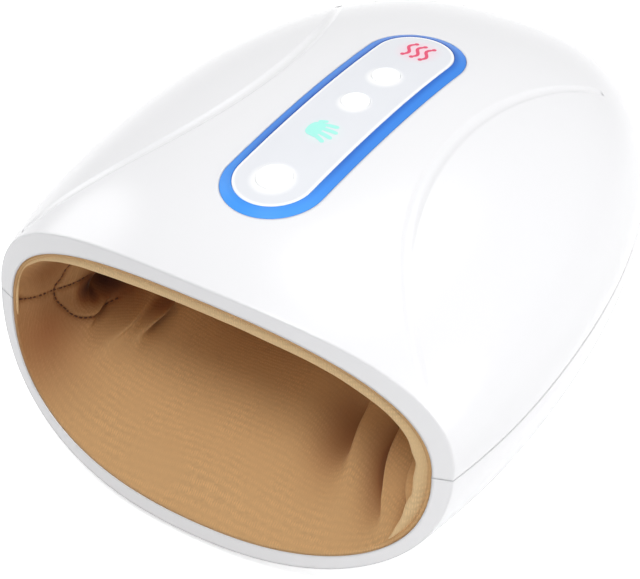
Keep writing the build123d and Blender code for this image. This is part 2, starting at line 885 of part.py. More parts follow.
# Retaining ring that grips the pouch's hem behind the flange
with BuildPart() as retainer:
    extrude(mouth_face(retainer_width), amount=-mouth_cut_length)
    extrude(mouth_face(0), amount=-mouth_cut_length, mode=Mode.SUBTRACT)
    add(behind_flange, mode=Mode.INTERSECT)
    add(behind_front(flange_thickness + retainer_depth), mode=Mode.SUBTRACT)
    add(form(UP, wall + fit_clearance) + form(DOWN, wall + fit_clearance), mode=Mode.INTERSECT)
    add(slab(floor_z + fit_clearance, crown_z), mode=Mode.INTERSECT)
save(retainer.part, "pouch_retainer")


# Airbags: a palm cushion and a finger cushion joined by a neck, with a port at the back
def airbag(low, port_x):
    bag_rear = finger_setback + finger_length / 2
    with BuildPart() as bag:
        with BuildSketch(Plane.XY.offset(low)):
            with Locations((0, back(palm_setback))):
                RectangleRounded(palm_width, palm_length, airbag_neck / 2)
            with Locations((0, back(finger_setback))):
                RectangleRounded(finger_width, finger_length, airbag_neck / 2)
        extrude(amount=airbag_thickness)
        fillet(bag.edges().group_by(Axis.Z)[-1] + bag.edges().group_by(Axis.Z)[0], radius=airbag_edge)
        with BuildSketch(Plane.XY.offset(low + airbag_thickness / 3)):
            with Locations((0, back((palm_setback + finger_setback) / 2))):
                Rectangle(airbag_neck, palm_length)
        extrude(amount=airbag_thickness / 3)
        with BuildSketch(station_plane(back(bag_rear))):
            with Locations((port_x, low + airbag_thickness / 2 - parting_z)):
                Circle(port_radius)
        extrude(amount=-port_length)
    return bag.part


upper_bag_z = parting_z + cavity_half_height + pouch_gap
lower_bag_z = lower_bag_top - airbag_thickness
head_left = motor_length - pump_left_x
valve_port_x = head_left + head_length / 2
save(airbag(upper_bag_z, valve_port_x), "upper_airbag")
save(airbag(lower_bag_z, valve_port_x), "lower_airbag")

# Heated nodule plate under the palm: film heater with its temperature sensor, and domed nodules
plate_y = back(nodule_plate_setback)
with BuildPart() as nodule_plate:
    with BuildSketch(Plane.XY.offset(nodule_plate_top - nodule_plate_thickness)):
        with Locations((0, plate_y)):
            RectangleRounded(nodule_plate_width, nodule_plate_length, airbag_neck / 2)
    extrude(amount=nodule_plate_thickness)
    with BuildSketch(Plane.XY.offset(nodule_plate_top)):
        with Locations((0, plate_y)):
            with GridLocations(nodule_pitch, nodule_pitch, nodule_columns, nodule_rows):
                Circle(nodule_radius)
    extrude(amount=nodule_height, taper=nodule_taper)
save(nodule_plate.part, "nodule_plate")

with BuildPart() as heating_film:
    with BuildSketch(Plane.XY.offset(heater_top - heater_thickness)):
        with Locations((0, plate_y)):
            RectangleRounded(heater_width, heater_length, airbag_neck / 2)
    extrude(amount=heater_thickness)
save(heating_film.part, "heating_film")

# Battery pack in its bay
with BuildPart() as battery:
    with BuildSketch(Plane.XY.offset(floor_z)):
        with Locations((0, back(battery_setback))):
            Rectangle(battery_width, battery_length)
    extrude(amount=battery_height)
    fillet(battery.edges(), radius=battery_edge)
save(battery.part, "battery_pack")

# Feet
with BuildPart() as feet:
    with BuildSketch():
        with Locations(*foot_places):
            Circle(foot_diameter / 2)
    extrude(amount=foot_stand + foot_recess)
    fillet(feet.edges().group_by(Axis.Z)[0], radius=foot_edge)
save(feet.part, "rubber_feet")

# Charging socket: a flat-oval sleeve with its contact tongue, on a small board
socket_front = rear_y - socket_recess
socket_plane = Plane(origin=(0, socket_front, socket_z), x_dir=(1, 0, 0), z_dir=(0, -1, 0))
with BuildPart() as socket:
    with BuildSketch(socket_plane):
        SlotOverall(socket_width, socket_height)
    extrude(amount=socket_depth)
    with BuildSketch(socket_plane):
        SlotOverall(socket_width - 2 * socket_wall, socket_height - 2 * socket_wall)
    extrude(amount=socket_depth - 2 * socket_wall, mode=Mode.SUBTRACT)
    with BuildSketch(socket_plane.offset(socket_depth)):
        Rectangle(tongue_width, tongue_thickness)
    extrude(amount=2 * socket_wall - socket_depth + socket_recess)
save(socket.part, "charging_socket")

with BuildPart() as charge_board:
    with BuildSketch(Plane.XY.offset(charge_board_z)):
        with Locations((0, charge_board_y + charge_board_length / 2)):
            Rectangle(charge_board_width, charge_board_length)
    extrude(amount=charge_board_thickness)
save(charge_board.part, "charge_board")

# Pump: motor can with two bearings, a rotor on its shaft, and a head with a crank
pump_axis = Plane(origin=(motor_left, pump_y, pump_z), x_dir=(0, 1, 0), z_dir=(1, 0, 0))
shaft_radius = shaft_diameter / 2
with BuildPart() as motor_can:
    with BuildSketch(pump_axis):
        Circle(motor_diameter / 2)
    extrude(amount=motor_length)
    fillet(motor_can.edges().group_by(Axis.X)[0], radius=motor_edge)
    with BuildSketch(pump_axis.offset(bearing_length)):
        Circle(motor_diameter / 2 - motor_can_wall)
    extrude(amount=motor_length - 2 * bearing_length, mode=Mode.SUBTRACT)
    with BuildSketch(pump_axis):
        Circle(bearing_diameter / 2)
    extrude(amount=motor_length, mode=Mode.SUBTRACT)
save(motor_can.part, "motor_can")

with BuildPart() as bearings:
    for start in (0, motor_length - bearing_length):
        with BuildSketch(pump_axis.offset(start)):
            Circle(bearing_diameter / 2)
            Circle(shaft_radius + shaft_clearance, mode=Mode.SUBTRACT)
        extrude(amount=bearing_length)
save(bearings.part, "motor_bearings")

crank_start = motor_length + head_wall
with BuildPart() as rotor:
    with BuildSketch(pump_axis.offset(shaft_clearance)):
        Circle(shaft_radius)
    extrude(amount=crank_start + crank_length - shaft_clearance)
    with BuildSketch(pump_axis.offset((motor_length - rotor_length) / 2)):
        Circle(rotor_diameter / 2)
        with PolarLocations(rotor_diameter / 2, rotor_slots):
            Rectangle(rotor_diameter / 2, rotor_slot_width, mode=Mode.SUBTRACT)
    extrude(amount=rotor_length)
save(rotor.part, "motor_rotor")

with BuildPart() as crank:
    with BuildSketch(pump_axis.offset(crank_start + shaft_clearance)):
        Circle(crank_diameter / 2)
        Circle(shaft_radius, mode=Mode.SUBTRACT)
    extrude(amount=crank_length - shaft_clearance)
    with BuildSketch(pump_axis.offset(crank_start + crank_length)):
        with Locations((crank_throw, 0)):
            Circle(crank_pin_diameter / 2)
    extrude(amount=crank_pin_length)
save(crank.part, "pump_crank")

with BuildPart() as pump_head:
    with BuildSketch(pump_axis.offset(motor_length)):
        RectangleRounded(head_side, head_side, head_corner)
    extrude(amount=head_length)
    with BuildSketch(pump_axis.offset(crank_start)):
        Circle(head_side / 2 - head_wall)
    extrude(amount=crank_length + crank_pin_length + head_wall, mode=Mode.SUBTRACT)
    with BuildSketch(pump_axis.offset(motor_length)):
        Circle(shaft_radius + shaft_clearance)
    extrude(amount=head_wall, mode=Mode.SUBTRACT)
    with BuildSketch(pump_axis.offset(motor_length + head_length)):
        Circle(port_radius)
    extrude(amount=port_length)
save(pump_head.part, "pump_head")

with BuildPart() as sleeve:
    with BuildSketch(Plane(origin=(sleeve_left, pump_y, pump_z), z_dir=(1, 0, 0))):
        Circle(saddle_radius - joint_clearance)
        Circle(motor_diameter / 2, mode=Mode.SUBTRACT)
    extrude(amount=sleeve_length)
save(sleeve.part, "motor_sleeve")

# Two solenoid valves on a bent bracket round the pump head, in line with the airbags' ports
head_y = pump_y - head_side / 2
valve_y = back(valve_front_setback)
upper_valve_z = upper_bag_z + airbag_thickness / 2
lower_valve_z = lower_bag_z + airbag_thickness / 2
bracket_thickness = upper_valve_z - valve_side / 2 - pump_z - head_side / 2
bracket_top = upper_valve_z - valve_side / 2
bracket_bottom = lower_valve_z + valve_side / 2
with BuildPart() as bracket:
    with BuildSketch(Plane(origin=(valve_port_x, 0, 0), x_dir=(0, 1, 0), z_dir=(1, 0, 0))):
        with BuildLine():
            bracket_front = head_y - bracket_gap - bracket_thickness
            Polyline(
                (valve_y + valve_length, bracket_top),
                (bracket_front, bracket_top),
                (bracket_front, bracket_bottom),
                (valve_y + valve_length, bracket_bottom),
                (valve_y + valve_length, bracket_bottom + bracket_thickness),
                (bracket_front + bracket_thickness, bracket_bottom + bracket_thickness),
                (bracket_front + bracket_thickness, bracket_top - bracket_thickness),
                (valve_y + valve_length, bracket_top - bracket_thickness),
                close=True,
            )
        make_face()
    extrude(amount=valve_side / 2, both=True)
save(bracket.part, "valve_bracket")

# Plungers stand part way down their bores, with the travel left behind them
plunger_y = valve_y + valve_length - valve_plunger_length - valve_travel
for name, valve_z in (("upper", upper_valve_z), ("lower", lower_valve_z)):
    face = Plane(origin=(valve_port_x, valve_y, valve_z), x_dir=(1, 0, 0), z_dir=(0, 1, 0))
    with BuildPart() as valve:
        with BuildSketch(face):
            Rectangle(valve_side, valve_side)
        extrude(amount=valve_length)
        with BuildSketch(face):
            Circle(port_radius)
        extrude(amount=-port_length)
        inlet = Plane(origin=(valve_port_x + valve_side / 2, pump_y, valve_z), z_dir=(1, 0, 0))
        with BuildSketch(inlet):
            Circle(port_radius)
        extrude(amount=port_length)
        with BuildSketch(face.offset(plunger_y - valve_y)):
            Circle(valve_plunger_radius + valve_clearance)
        extrude(amount=valve_length, mode=Mode.SUBTRACT)
    save(valve.part, f"{name}_valve")
    with BuildPart() as plunger:
        with BuildSketch(face.offset(plunger_y - valve_y)):
            Circle(valve_plunger_radius)
        extrude(amount=valve_plunger_length)
    save(plunger.part, f"{name}_valve_plunger")


# Air tubes: straight between facing ports, and bent from the tee to the valves
def tube(points, name):
    """Hollow tube of silicone along a route, bent at its one corner if it has one."""
    with BuildPart() as hose:
        with BuildLine() as route:
            if len(points) == 2:
                Line(*points)
            else:
                FilletPolyline(*points, radius=tube_bend)
        line = route.line
        with BuildSketch(Plane(origin=line @ 0, z_dir=line % 0)):
            Circle(tube_radius)
            Circle(port_radius + tube_clearance, mode=Mode.SUBTRACT)
        sweep()
    save(hose.part, name)


bag_port_y = back(finger_setback + finger_length / 2)
tube((Vector(valve_port_x, bag_port_y + tube_clearance, upper_valve_z),
      Vector(valve_port_x, valve_y - tube_clearance, upper_valve_z)), "upper_bag_tube")
tube((Vector(valve_port_x, bag_port_y + tube_clearance, lower_valve_z),
      Vector(valve_port_x, valve_y - tube_clearance, lower_valve_z)), "lower_bag_tube")

head_right = head_left + head_length
tee_left = head_right + 2 * port_length + bracket_gap
tee_x = tee_left + tee_side / 2
with BuildPart() as tee:
    with BuildSketch(Plane(origin=(tee_left, pump_y, pump_z), z_dir=(1, 0, 0))):
        Rectangle(tee_side, tee_side)
    extrude(amount=tee_side)
    with BuildSketch(Plane(origin=(tee_left, pump_y, pump_z), z_dir=(-1, 0, 0))):
        Circle(port_radius)
    extrude(amount=port_length)
    with BuildSketch(Plane(origin=(tee_x, pump_y, pump_z - tee_side / 2 - port_length))):
        Circle(port_radius)
    extrude(amount=tee_side + 2 * port_length)
save(tee.part, "air_tee")

tube((Vector(head_right + tube_clearance, pump_y, pump_z),
      Vector(tee_left - tube_clearance, pump_y, pump_z)), "pump_tube")
valve_inlet_x = valve_port_x + valve_side / 2
for name, valve_z, side in (("upper", upper_valve_z, UP), ("lower", lower_valve_z, DOWN)):
    corner = Vector(tee_x, pump_y, valve_z)
    start = Vector(tee_x, pump_y, pump_z + side * (tee_side / 2 + tube_clearance))
    end = Vector(valve_inlet_x + tube_clearance, pump_y, valve_z)
    tube((start, corner, end), f"{name}_valve_tube")
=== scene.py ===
"""Looks of a white hand massager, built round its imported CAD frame. Metres, mouth towards -Y, +Z up."""
import json
from math import cos, exp, hypot, pi, radians, sin

import bmesh
import bpy
from bpy.props import FloatProperty, FloatVectorProperty, PointerProperty
from mathutils import Matrix, Vector, noise


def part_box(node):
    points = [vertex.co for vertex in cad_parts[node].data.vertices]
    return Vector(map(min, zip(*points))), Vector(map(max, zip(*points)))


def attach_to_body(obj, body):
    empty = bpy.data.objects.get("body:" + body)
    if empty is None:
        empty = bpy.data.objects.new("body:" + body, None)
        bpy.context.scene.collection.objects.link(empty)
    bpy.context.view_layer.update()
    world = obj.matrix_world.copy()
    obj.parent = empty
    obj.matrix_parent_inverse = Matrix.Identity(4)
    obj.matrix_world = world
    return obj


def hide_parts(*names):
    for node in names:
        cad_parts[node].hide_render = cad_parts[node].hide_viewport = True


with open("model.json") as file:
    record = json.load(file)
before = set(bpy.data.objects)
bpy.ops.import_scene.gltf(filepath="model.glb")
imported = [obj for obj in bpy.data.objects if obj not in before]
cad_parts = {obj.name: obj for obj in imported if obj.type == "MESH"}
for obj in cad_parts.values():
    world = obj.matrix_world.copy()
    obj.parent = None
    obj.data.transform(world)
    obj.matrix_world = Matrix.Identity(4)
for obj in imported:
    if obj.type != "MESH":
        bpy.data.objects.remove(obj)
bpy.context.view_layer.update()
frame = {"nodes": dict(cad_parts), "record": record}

bl_info = {
    "name": "Hand massager looks",
    "version": (1, 0, 0),
    "blender": (4, 5, 0),
    "location": "View3D > Sidebar > Massager",
    "description": "Lining, lit signs, finishes and studio for a hand massager",
    "category": "Object",
}

HOUSING = "housing"
MM = 0.001

# The moulded form in millimetres, as in the CAD part: half widths, heights off the parting, setbacks off the lip
LIP_Y, REAR_Y = -104.0, 104.0
PARTING_Z = 48.0
HALF_WIDTH, CROWN = 87.6, 49.1
WIDEST, HIGHEST = 68.3, 58.8
PLAN_ROUNDNESS, CROWN_ROUNDNESS = 2.25, 2.17
LIP_WIDTH, LIP_CROWN, LIP_KEEL = 75.3, 36.5, 45.4
LIP_SQUARE, REAR_SQUARE = 2.13, 2.53
TAIL_OVERRUN = 1.4
FRONT_RADIUS, FRONT_LEAN = 256.0, radians(11.4)
MOUTH_WIDTH, MOUTH_TOP, MOUTH_BOTTOM = 76.3, 38.3, 40.7
MOUTH_TOP_SQUARE, MOUTH_BOTTOM_SQUARE = 2.13, 2.66
POCKET_WIDTH, POCKET_HEIGHT, POCKET_SQUARE = 62.4, 10.4, 2.5
POCKET_START, POCKET_END = 68.0, 165.0

# Control strip: its middle, half the length of its straight part, its half widths and its signs
PANEL_RISE = 1.3
STRIP_Y = LIP_Y + 99.7
STRIP_STRAIGHT, STRIP_HALF, PANEL_HALF = 38.3, 16.7, 13.0
HAND_Y, HEAT_Y = LIP_Y + 86.6, LIP_Y + 140.8
# Painted light spilled round the keys and signs from the lamps under the panel: place, inner and outer radius,
# strength and colour
PAINTED_GLOWS = (
    (LIP_Y + 60.4, 5.2, 8.2, 0.9, "FFFFFF"),
    (LIP_Y + 104.0, 4.0, 6.2, 0.75, "FFFFFF"),
    (LIP_Y + 121.3, 4.0, 6.8, 0.9, "FFFFFF"),
    (HEAT_Y, 1.5, 8.5, 0.8, "F9D3DF"),
    (HAND_Y, 1.5, 8.0, 0.5, "DDF7F3"),
)

SHADE_LAYER_NAME = "painted_shade_share"  # the lining's layer of painted shade, darkest in its creases and deep corners
FINISHES = {}  # every finish by the record's slot name, filled by the first operator


def srgb(code):
    """Linear colour of an sRGB hex value."""
    channels = [int(code[i:i + 2], 16) / 255 for i in (0, 2, 4)]
    return tuple(c / 12.92 if c <= 0.04045 else ((c + 0.055) / 1.055) ** 2.4 for c in channels)


# The settings that a user would change
class FinishSettings(bpy.types.PropertyGroup):
    shell_color: FloatVectorProperty(
        name="Shell colour", description="Colour of the glossy moulded shells", subtype="COLOR",
        size=3, min=0, max=1, default=srgb("F0F0F2"))
    shell_roughness: FloatProperty(
        name="Shell roughness", description="Roughness of the polished mould's finish", subtype="FACTOR",
        min=0, max=1, default=0.24)
    ring_color: FloatVectorProperty(
        name="Ring colour", description="Colour of the lit band round the control strip", subtype="COLOR",
        size=3, min=0, max=1, default=srgb("3C84DE"))
    lining_color: FloatVectorProperty(
        name="Lining colour", description="Colour of the knitted lining", subtype="COLOR",
        size=3, min=0, max=1, default=srgb("D9AB75"))
    stitch_pitch: FloatProperty(
        name="Knit pitch", description="Distance from one wale of the knit to the next", unit="LENGTH",
        min=0.0003, max=0.004, default=0.0008)


class LiningSettings(bpy.types.PropertyGroup):
    hem_depth: FloatProperty(
        name="Hem depth", description="How far behind the mouth's face the lining starts", unit="LENGTH",
        min=0.0, max=0.01, default=0.0004)
    roll_width: FloatProperty(
        name="Roll width", description="Height of the padded roll that hangs inside the mouth's top",
        unit="LENGTH", min=0.001, max=0.012, default=0.0062)
    roll_thickness: FloatProperty(
        name="Roll thickness", description="Thickness of the padded roll", unit="LENGTH",
        min=0.001, max=0.01, default=0.0038)
    fold_depth: FloatProperty(
        name="Fold depth", description="Depth of the folds at the right of the mouth", unit="LENGTH",
        min=0.0, max=0.02, default=0.006)
    thickness: FloatProperty(
        name="Cloth thickness", description="Thickness of the lining", unit="LENGTH",
        min=0.0002, max=0.004, default=0.0012)


class StageSettings(bpy.types.PropertyGroup):
    azimuth: FloatProperty(
        name="Azimuth", description="Camera's turn round the object, from the mouth towards +X",
        subtype="ANGLE", default=radians(34.63))
    elevation: FloatProperty(
        name="Elevation", description="Camera's height above the horizon", subtype="ANGLE",
        default=radians(40.01))
    roll: FloatProperty(
        name="Roll", description="Camera's turn about its own axis", subtype="ANGLE", default=radians(-3.58))
    distance: FloatProperty(
        name="Distance", description="Camera's distance from the object", unit="LENGTH", default=0.739)
    lens: FloatProperty(
        name="Lens", description="Focal length on a sensor 36 mm wide", unit="CAMERA", default=130.3)
    key_power: FloatProperty(
        name="Key light", description="Power of the light above the mouth", unit="POWER", default=8.7)
    fill_power: FloatProperty(
        name="Fill lights", description="Power that the four fill lights share by their own weights",
        unit="POWER", default=4.6)
    ambient: FloatProperty(
        name="Ambient", description="Strength of the even light from all round", subtype="FACTOR",
        min=0, max=1, default=0.22)


# Form: the same curves as the CAD part
def swell(y, peak, peak_setback, lip_size, roundness, inset):
    """Size of the form at a place along it: it grows from the lip to a peak, then closes round the rear."""
    peak_y = LIP_Y + peak_setback
    if y < peak_y:
        share = (peak_y - y) / peak_setback
        return peak - inset - (peak - lip_size) * share**2
    share = min(1.0, (y - peak_y) / (REAR_Y + TAIL_OVERRUN - inset - peak_y))
    return (peak - inset) * (1 - share**roundness) ** (1 / roundness)


def crown_point(x, y, inset):
    """Point of the upper form over a place in plan, in millimetres."""
    exponent = LIP_SQUARE + (REAR_SQUARE - LIP_SQUARE) * (y - LIP_Y) / (REAR_Y - LIP_Y)
    wide = swell(y, HALF_WIDTH, WIDEST, LIP_WIDTH, PLAN_ROUNDNESS, inset)
    high = swell(y, CROWN, HIGHEST, LIP_CROWN, CROWN_ROUNDNESS, inset)
    slack = max(0.0, 1 - (abs(x) / wide) ** exponent)
    return Vector((x, y, PARTING_Z + high * slack ** (1 / exponent)))


def signed_power(value, exponent):
    """The value's size raised to an exponent, with the value's sign."""
    return (1 if value >= 0 else -1) * abs(value) ** exponent


def arch(angle, width, top, bottom, top_square, bottom_square):
    """Place across and above the middle, at an angle round a section of two half superellipses."""
    c, s = cos(angle), sin(angle)
    height, exponent = (top, top_square) if s >= 0 else (bottom, bottom_square)
    return width * signed_power(c, 2 / exponent), height * signed_power(s, 2 / exponent)


def front_y(z, x, depth):
    """Y of the mouth's curved face at a place across and above the middle, or so far behind it."""
    axis_y = LIP_Y + FRONT_RADIUS * cos(FRONT_LEAN)
    axis_z = -LIP_KEEL - FRONT_RADIUS * sin(FRONT_LEAN)
    radius = FRONT_RADIUS - depth
    slip = (radius * radius - x * x) ** 0.5
    return axis_y - (slip - (z - axis_z) * sin(FRONT_LEAN)) / cos(FRONT_LEAN)


def smooth(value, low=0.0, high=1.0):
    """Eases from 0 to 1 while the value goes from low to high."""
    share = min(1.0, max(0.0, (value - low) / (high - low)))
    return share * share * (3 - 2 * share)


def spaced(low, high, count):
    """Values at equal steps from low to high."""
    return [low + (high - low) * i / (count - 1) for i in range(count)]


# Meshes
def make_object(name, vertices, faces, smoothed=True):
    """A new object in metres, from vertices in millimetres."""
    mesh = bpy.data.meshes.new(name)
    mesh.from_pydata([tuple(c * MM for c in v) for v in vertices], [], faces)
    mesh.validate()
    mesh.update()
    work = bmesh.new()
    work.from_mesh(mesh)
    bmesh.ops.recalc_face_normals(work, faces=work.faces)
    work.to_mesh(mesh)
    work.free()
    for polygon in mesh.polygons:
        polygon.use_smooth = smoothed
    piece = bpy.data.objects.new(name, mesh)
    bpy.context.scene.collection.objects.link(piece)
    return piece


def grid_faces(rows, columns, start=0, flip=False):
    """Quads between closed rings of vertices in a row."""
    faces = []
    for row in range(rows - 1):
        for column in range(columns):
            a = start + row * columns + column
            b = start + row * columns + (column + 1) % columns
            quad = (a, b, b + columns, a + columns)
            faces.append(quad[::-1] if flip else quad)
    return faces


def tube_faces(rows, columns, start=0):
    """Faces of a tube of closed rings, with a cap at each end."""
    last = start + (rows - 1) * columns
    return grid_faces(rows, columns, start) + [tuple(range(start, start + columns)),
                                               tuple(range(last, last + columns))]


def attach(piece, material, replaced=()):
    """Puts the piece on the housing, with its material and what it stands for."""
    piece.data.materials.append(material)
    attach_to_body(piece, HOUSING)
    if replaced:
        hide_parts(*replaced)


# Materials
def add(tree, kind, inputs=None, **settings):
    """Adds one shader node with its settings, values and links."""
    node = tree.nodes.new("ShaderNode" + kind)
    for name, value in settings.items():
        setattr(node, name, value)
    for name, value in (inputs or {}).items():
        if isinstance(value, bpy.types.NodeSocket):
            tree.links.new(value, node.inputs[name])
        else:
            node.inputs[name].default_value = value
    return node


def rgba(color):
    return (*color[:3], 1.0)


def blend(tree, share, low, high):
    """Colour between two others, by a share from 0 to 1."""
    return add(tree, "Mix", {0: share, 6: low, 7: high}, data_type="RGBA").outputs[2]


def ease(tree, value, low, high, start=0.0, end=1.0):
    """Number that runs smoothly from start to end while the value goes from low to high."""
    return add(tree, "MapRange", {"Value": value, "From Min": low, "From Max": high, "To Min": start,
                                  "To Max": end}, interpolation_type="SMOOTHSTEP").outputs["Result"]


def insides(material):
    """The material's node tree, its surface node and the place on the object."""
    material.use_nodes = True
    tree = material.node_tree
    return tree, tree.nodes["Principled BSDF"], add(tree, "TexCoord").outputs["Object"]


# A cloud of tone is so many grains across, and the roughness moves so far each way with it
CLOUD_GRAINS, ROUGHNESS_SWING = 40, 0.04


def shade(name, color, roughness, variation, grain, bump, depth=0.02, **sockets):
    """A material of one substance: its colour and roughness vary a little with a grain in millimetres."""
    material = bpy.data.materials.new(name)
    tree, surface, place = insides(material)
    cloud = add(tree, "TexNoise", {"Vector": place, "Scale": 1 / (grain * CLOUD_GRAINS * MM), "Detail": 4.0})
    tone = blend(tree, cloud.outputs["Fac"], rgba([c * (1 - variation) for c in color]), rgba(color))
    tree.links.new(tone, surface.inputs["Base Color"])
    spread = add(tree, "MapRange", {"Value": cloud.outputs["Fac"],
                                    "To Min": max(0.0, roughness - ROUGHNESS_SWING),
                                    "To Max": roughness + ROUGHNESS_SWING})
    tree.links.new(spread.outputs["Result"], surface.inputs["Roughness"])
    if bump:
        fine = add(tree, "TexNoise", {"Vector": place, "Scale": 1 / (grain * MM), "Detail": 2.0})
        relief = add(tree, "Bump", {"Height": fine.outputs["Fac"], "Strength": bump, "Distance": depth * MM})
        tree.links.new(relief.outputs["Normal"], surface.inputs["Normal"])
    for socket, value in sockets.items():
        surface.inputs[socket.replace("_", " ")].default_value = value
    return material


# The shells' hairline: its dark and its faded half width and its depth, and their soft edges
HAIRLINE, HAIRLINE_FADE, HAIRLINE_DEPTH = 0.06, 0.22, 0.15
EDGE_ROUNDING, EDGE_SAMPLES = 1.4, 8


def moulded_shell(settings):
    """Polished ABS: clean white with a soft even gloss, softened edges and a hairline where the halves meet."""
    material = shade("polished_white_abs", settings.shell_color, settings.shell_roughness,
                     variation=0.012, grain=2.0, bump=0.0, IOR=1.53)
    tree, surface, place = insides(material)
    height = add(tree, "SeparateXYZ", {"Vector": place}).outputs["Z"]
    off = add(tree, "Math", {0: height, 1: PARTING_Z * MM}, operation="SUBTRACT")
    gap = add(tree, "Math", {0: off.outputs["Value"]}, operation="ABSOLUTE")
    line = ease(tree, gap.outputs["Value"], HAIRLINE * MM, HAIRLINE_FADE * MM)
    base = surface.inputs["Base Color"].links[0].from_socket
    tree.links.new(blend(tree, line, rgba(srgb("D6D6D9")), base), surface.inputs["Base Color"])
    edge = add(tree, "Bevel", {"Radius": EDGE_ROUNDING * MM}, samples=EDGE_SAMPLES)
    relief = add(tree, "Bump", {"Height": line, "Strength": 0.3, "Distance": HAIRLINE_DEPTH * MM,
                                "Normal": edge.outputs["Normal"]})
    tree.links.new(relief.outputs["Normal"], surface.inputs["Normal"])
    return material


def strip_distance(tree, place):
    """Distance from the control strip's middle line, equal all along each of its outlines."""
    parts = add(tree, "SeparateXYZ", {"Vector": place})
    along = add(tree, "Clamp", {"Value": parts.outputs["Y"], "Min": (STRIP_Y - STRIP_STRAIGHT) * MM,
                                "Max": (STRIP_Y + STRIP_STRAIGHT) * MM})
    nearest = add(tree, "CombineXYZ", {"Y": along.outputs["Result"], "Z": parts.outputs["Z"]})
    return add(tree, "VectorMath", {0: place, 1: nearest.outputs["Vector"]}, operation="DISTANCE").outputs["Value"]


# How far out from its inner edge the ring is darkened by painted shade, and how far before its middle painted
# light starts to brighten it
RING_SHADE, RING_PAINTED_LIGHT = 2.2, 20
# Where the panel's painted edge highlight starts and is full, in from its outline
PANEL_HIGHLIGHT_START, PANEL_HIGHLIGHT_FULL = 1.5, 0.5


def lit_ring(settings):
    """Blue-tinted polycarbonate lit from below, with painted shade at its inner edge and painted light brightening
    it towards the mouth.
    """
    material = shade("lit_blue_polycarbonate", settings.ring_color, 0.4, variation=0.08, grain=1.0, bump=0.03,
                     IOR=1.58, Specular_IOR_Level=0.2, Emission_Strength=0.1)
    tree, surface, place = insides(material)
    base = surface.inputs["Base Color"].links[0].from_socket
    # Painted shade darkens the ring at its inner edge and painted light brightens it towards the mouth, in its
    # glow too
    out = ease(tree, strip_distance(tree, place), PANEL_HALF * MM, (PANEL_HALF + RING_SHADE) * MM)
    deep = blend(tree, out, rgba(srgb("2B66BE")), base)
    back = add(tree, "SeparateXYZ", {"Vector": place}).outputs["Y"]
    front = ease(tree, back, (STRIP_Y - RING_PAINTED_LIGHT) * MM, (STRIP_Y - STRIP_STRAIGHT - STRIP_HALF) * MM,
                 end=0.75)
    tone = blend(tree, front, deep, rgba(srgb("469EF8")))
    for socket in ("Base Color", "Emission Color"):
        tree.links.new(tone, surface.inputs[socket])
    return material


def frosted_panel():
    """Frosted polycarbonate: cool white, with a painted highlight at its edge and painted light spilled round each
    key and sign.
    """
    material = shade("frosted_polycarbonate", srgb("E7E9EE"), 0.42, variation=0.03, grain=0.3, bump=0.12, IOR=1.58)
    tree, surface, place = insides(material)
    parts = add(tree, "SeparateXYZ", {"Vector": place})
    plan = add(tree, "CombineXYZ", {"X": parts.outputs["X"], "Y": parts.outputs["Y"]}).outputs["Vector"]
    # A painted highlight whitens the panel along its edge
    edge = ease(tree, strip_distance(tree, place), (PANEL_HALF - PANEL_HIGHLIGHT_START) * MM,
                (PANEL_HALF - PANEL_HIGHLIGHT_FULL) * MM)
    tone = blend(tree, edge, surface.inputs["Base Color"].links[0].from_socket, rgba(srgb("FFFFFF")))
    # Painted light from the lamps below pools round each key and sign in the panel's colour
    for y, inner, outer, light, code in PAINTED_GLOWS:
        away = add(tree, "VectorMath", {0: plan, 1: (0, y * MM, 0)}, operation="DISTANCE")
        share = ease(tree, away.outputs["Value"], inner * MM, outer * MM, light, 0.0)
        tone = blend(tree, share, tone, rgba(srgb(code)))
    tree.links.new(tone, surface.inputs["Base Color"])
    return material


# How far the knit's rows wander, in pitches, the scale of that per pitch, and the slant of the courses
WANDER, WANDER_SCALE, COURSE_SLANT = 0.9, 0.4, radians(35)
# Share and scale per pitch of the loose fibres, and the scale of the cloudy patches
FUZZ, FUZZ_SCALE, PATCH_SCALE = 0.4, 0.8, 90.0
# Tones of the cloth as shares of its colour: between the loops, on the loops, and where it is smooth
LOOP_LOW, LOOP_HIGH, LOOP_EVEN = 0.76, 1.18, 0.9
# Painted shade tones of the cloth in a crease and in the deepest hollow
CREASE_SHADE_TONE, HOLLOW_SHADE_TONE = "8E5A30", "3C1004"


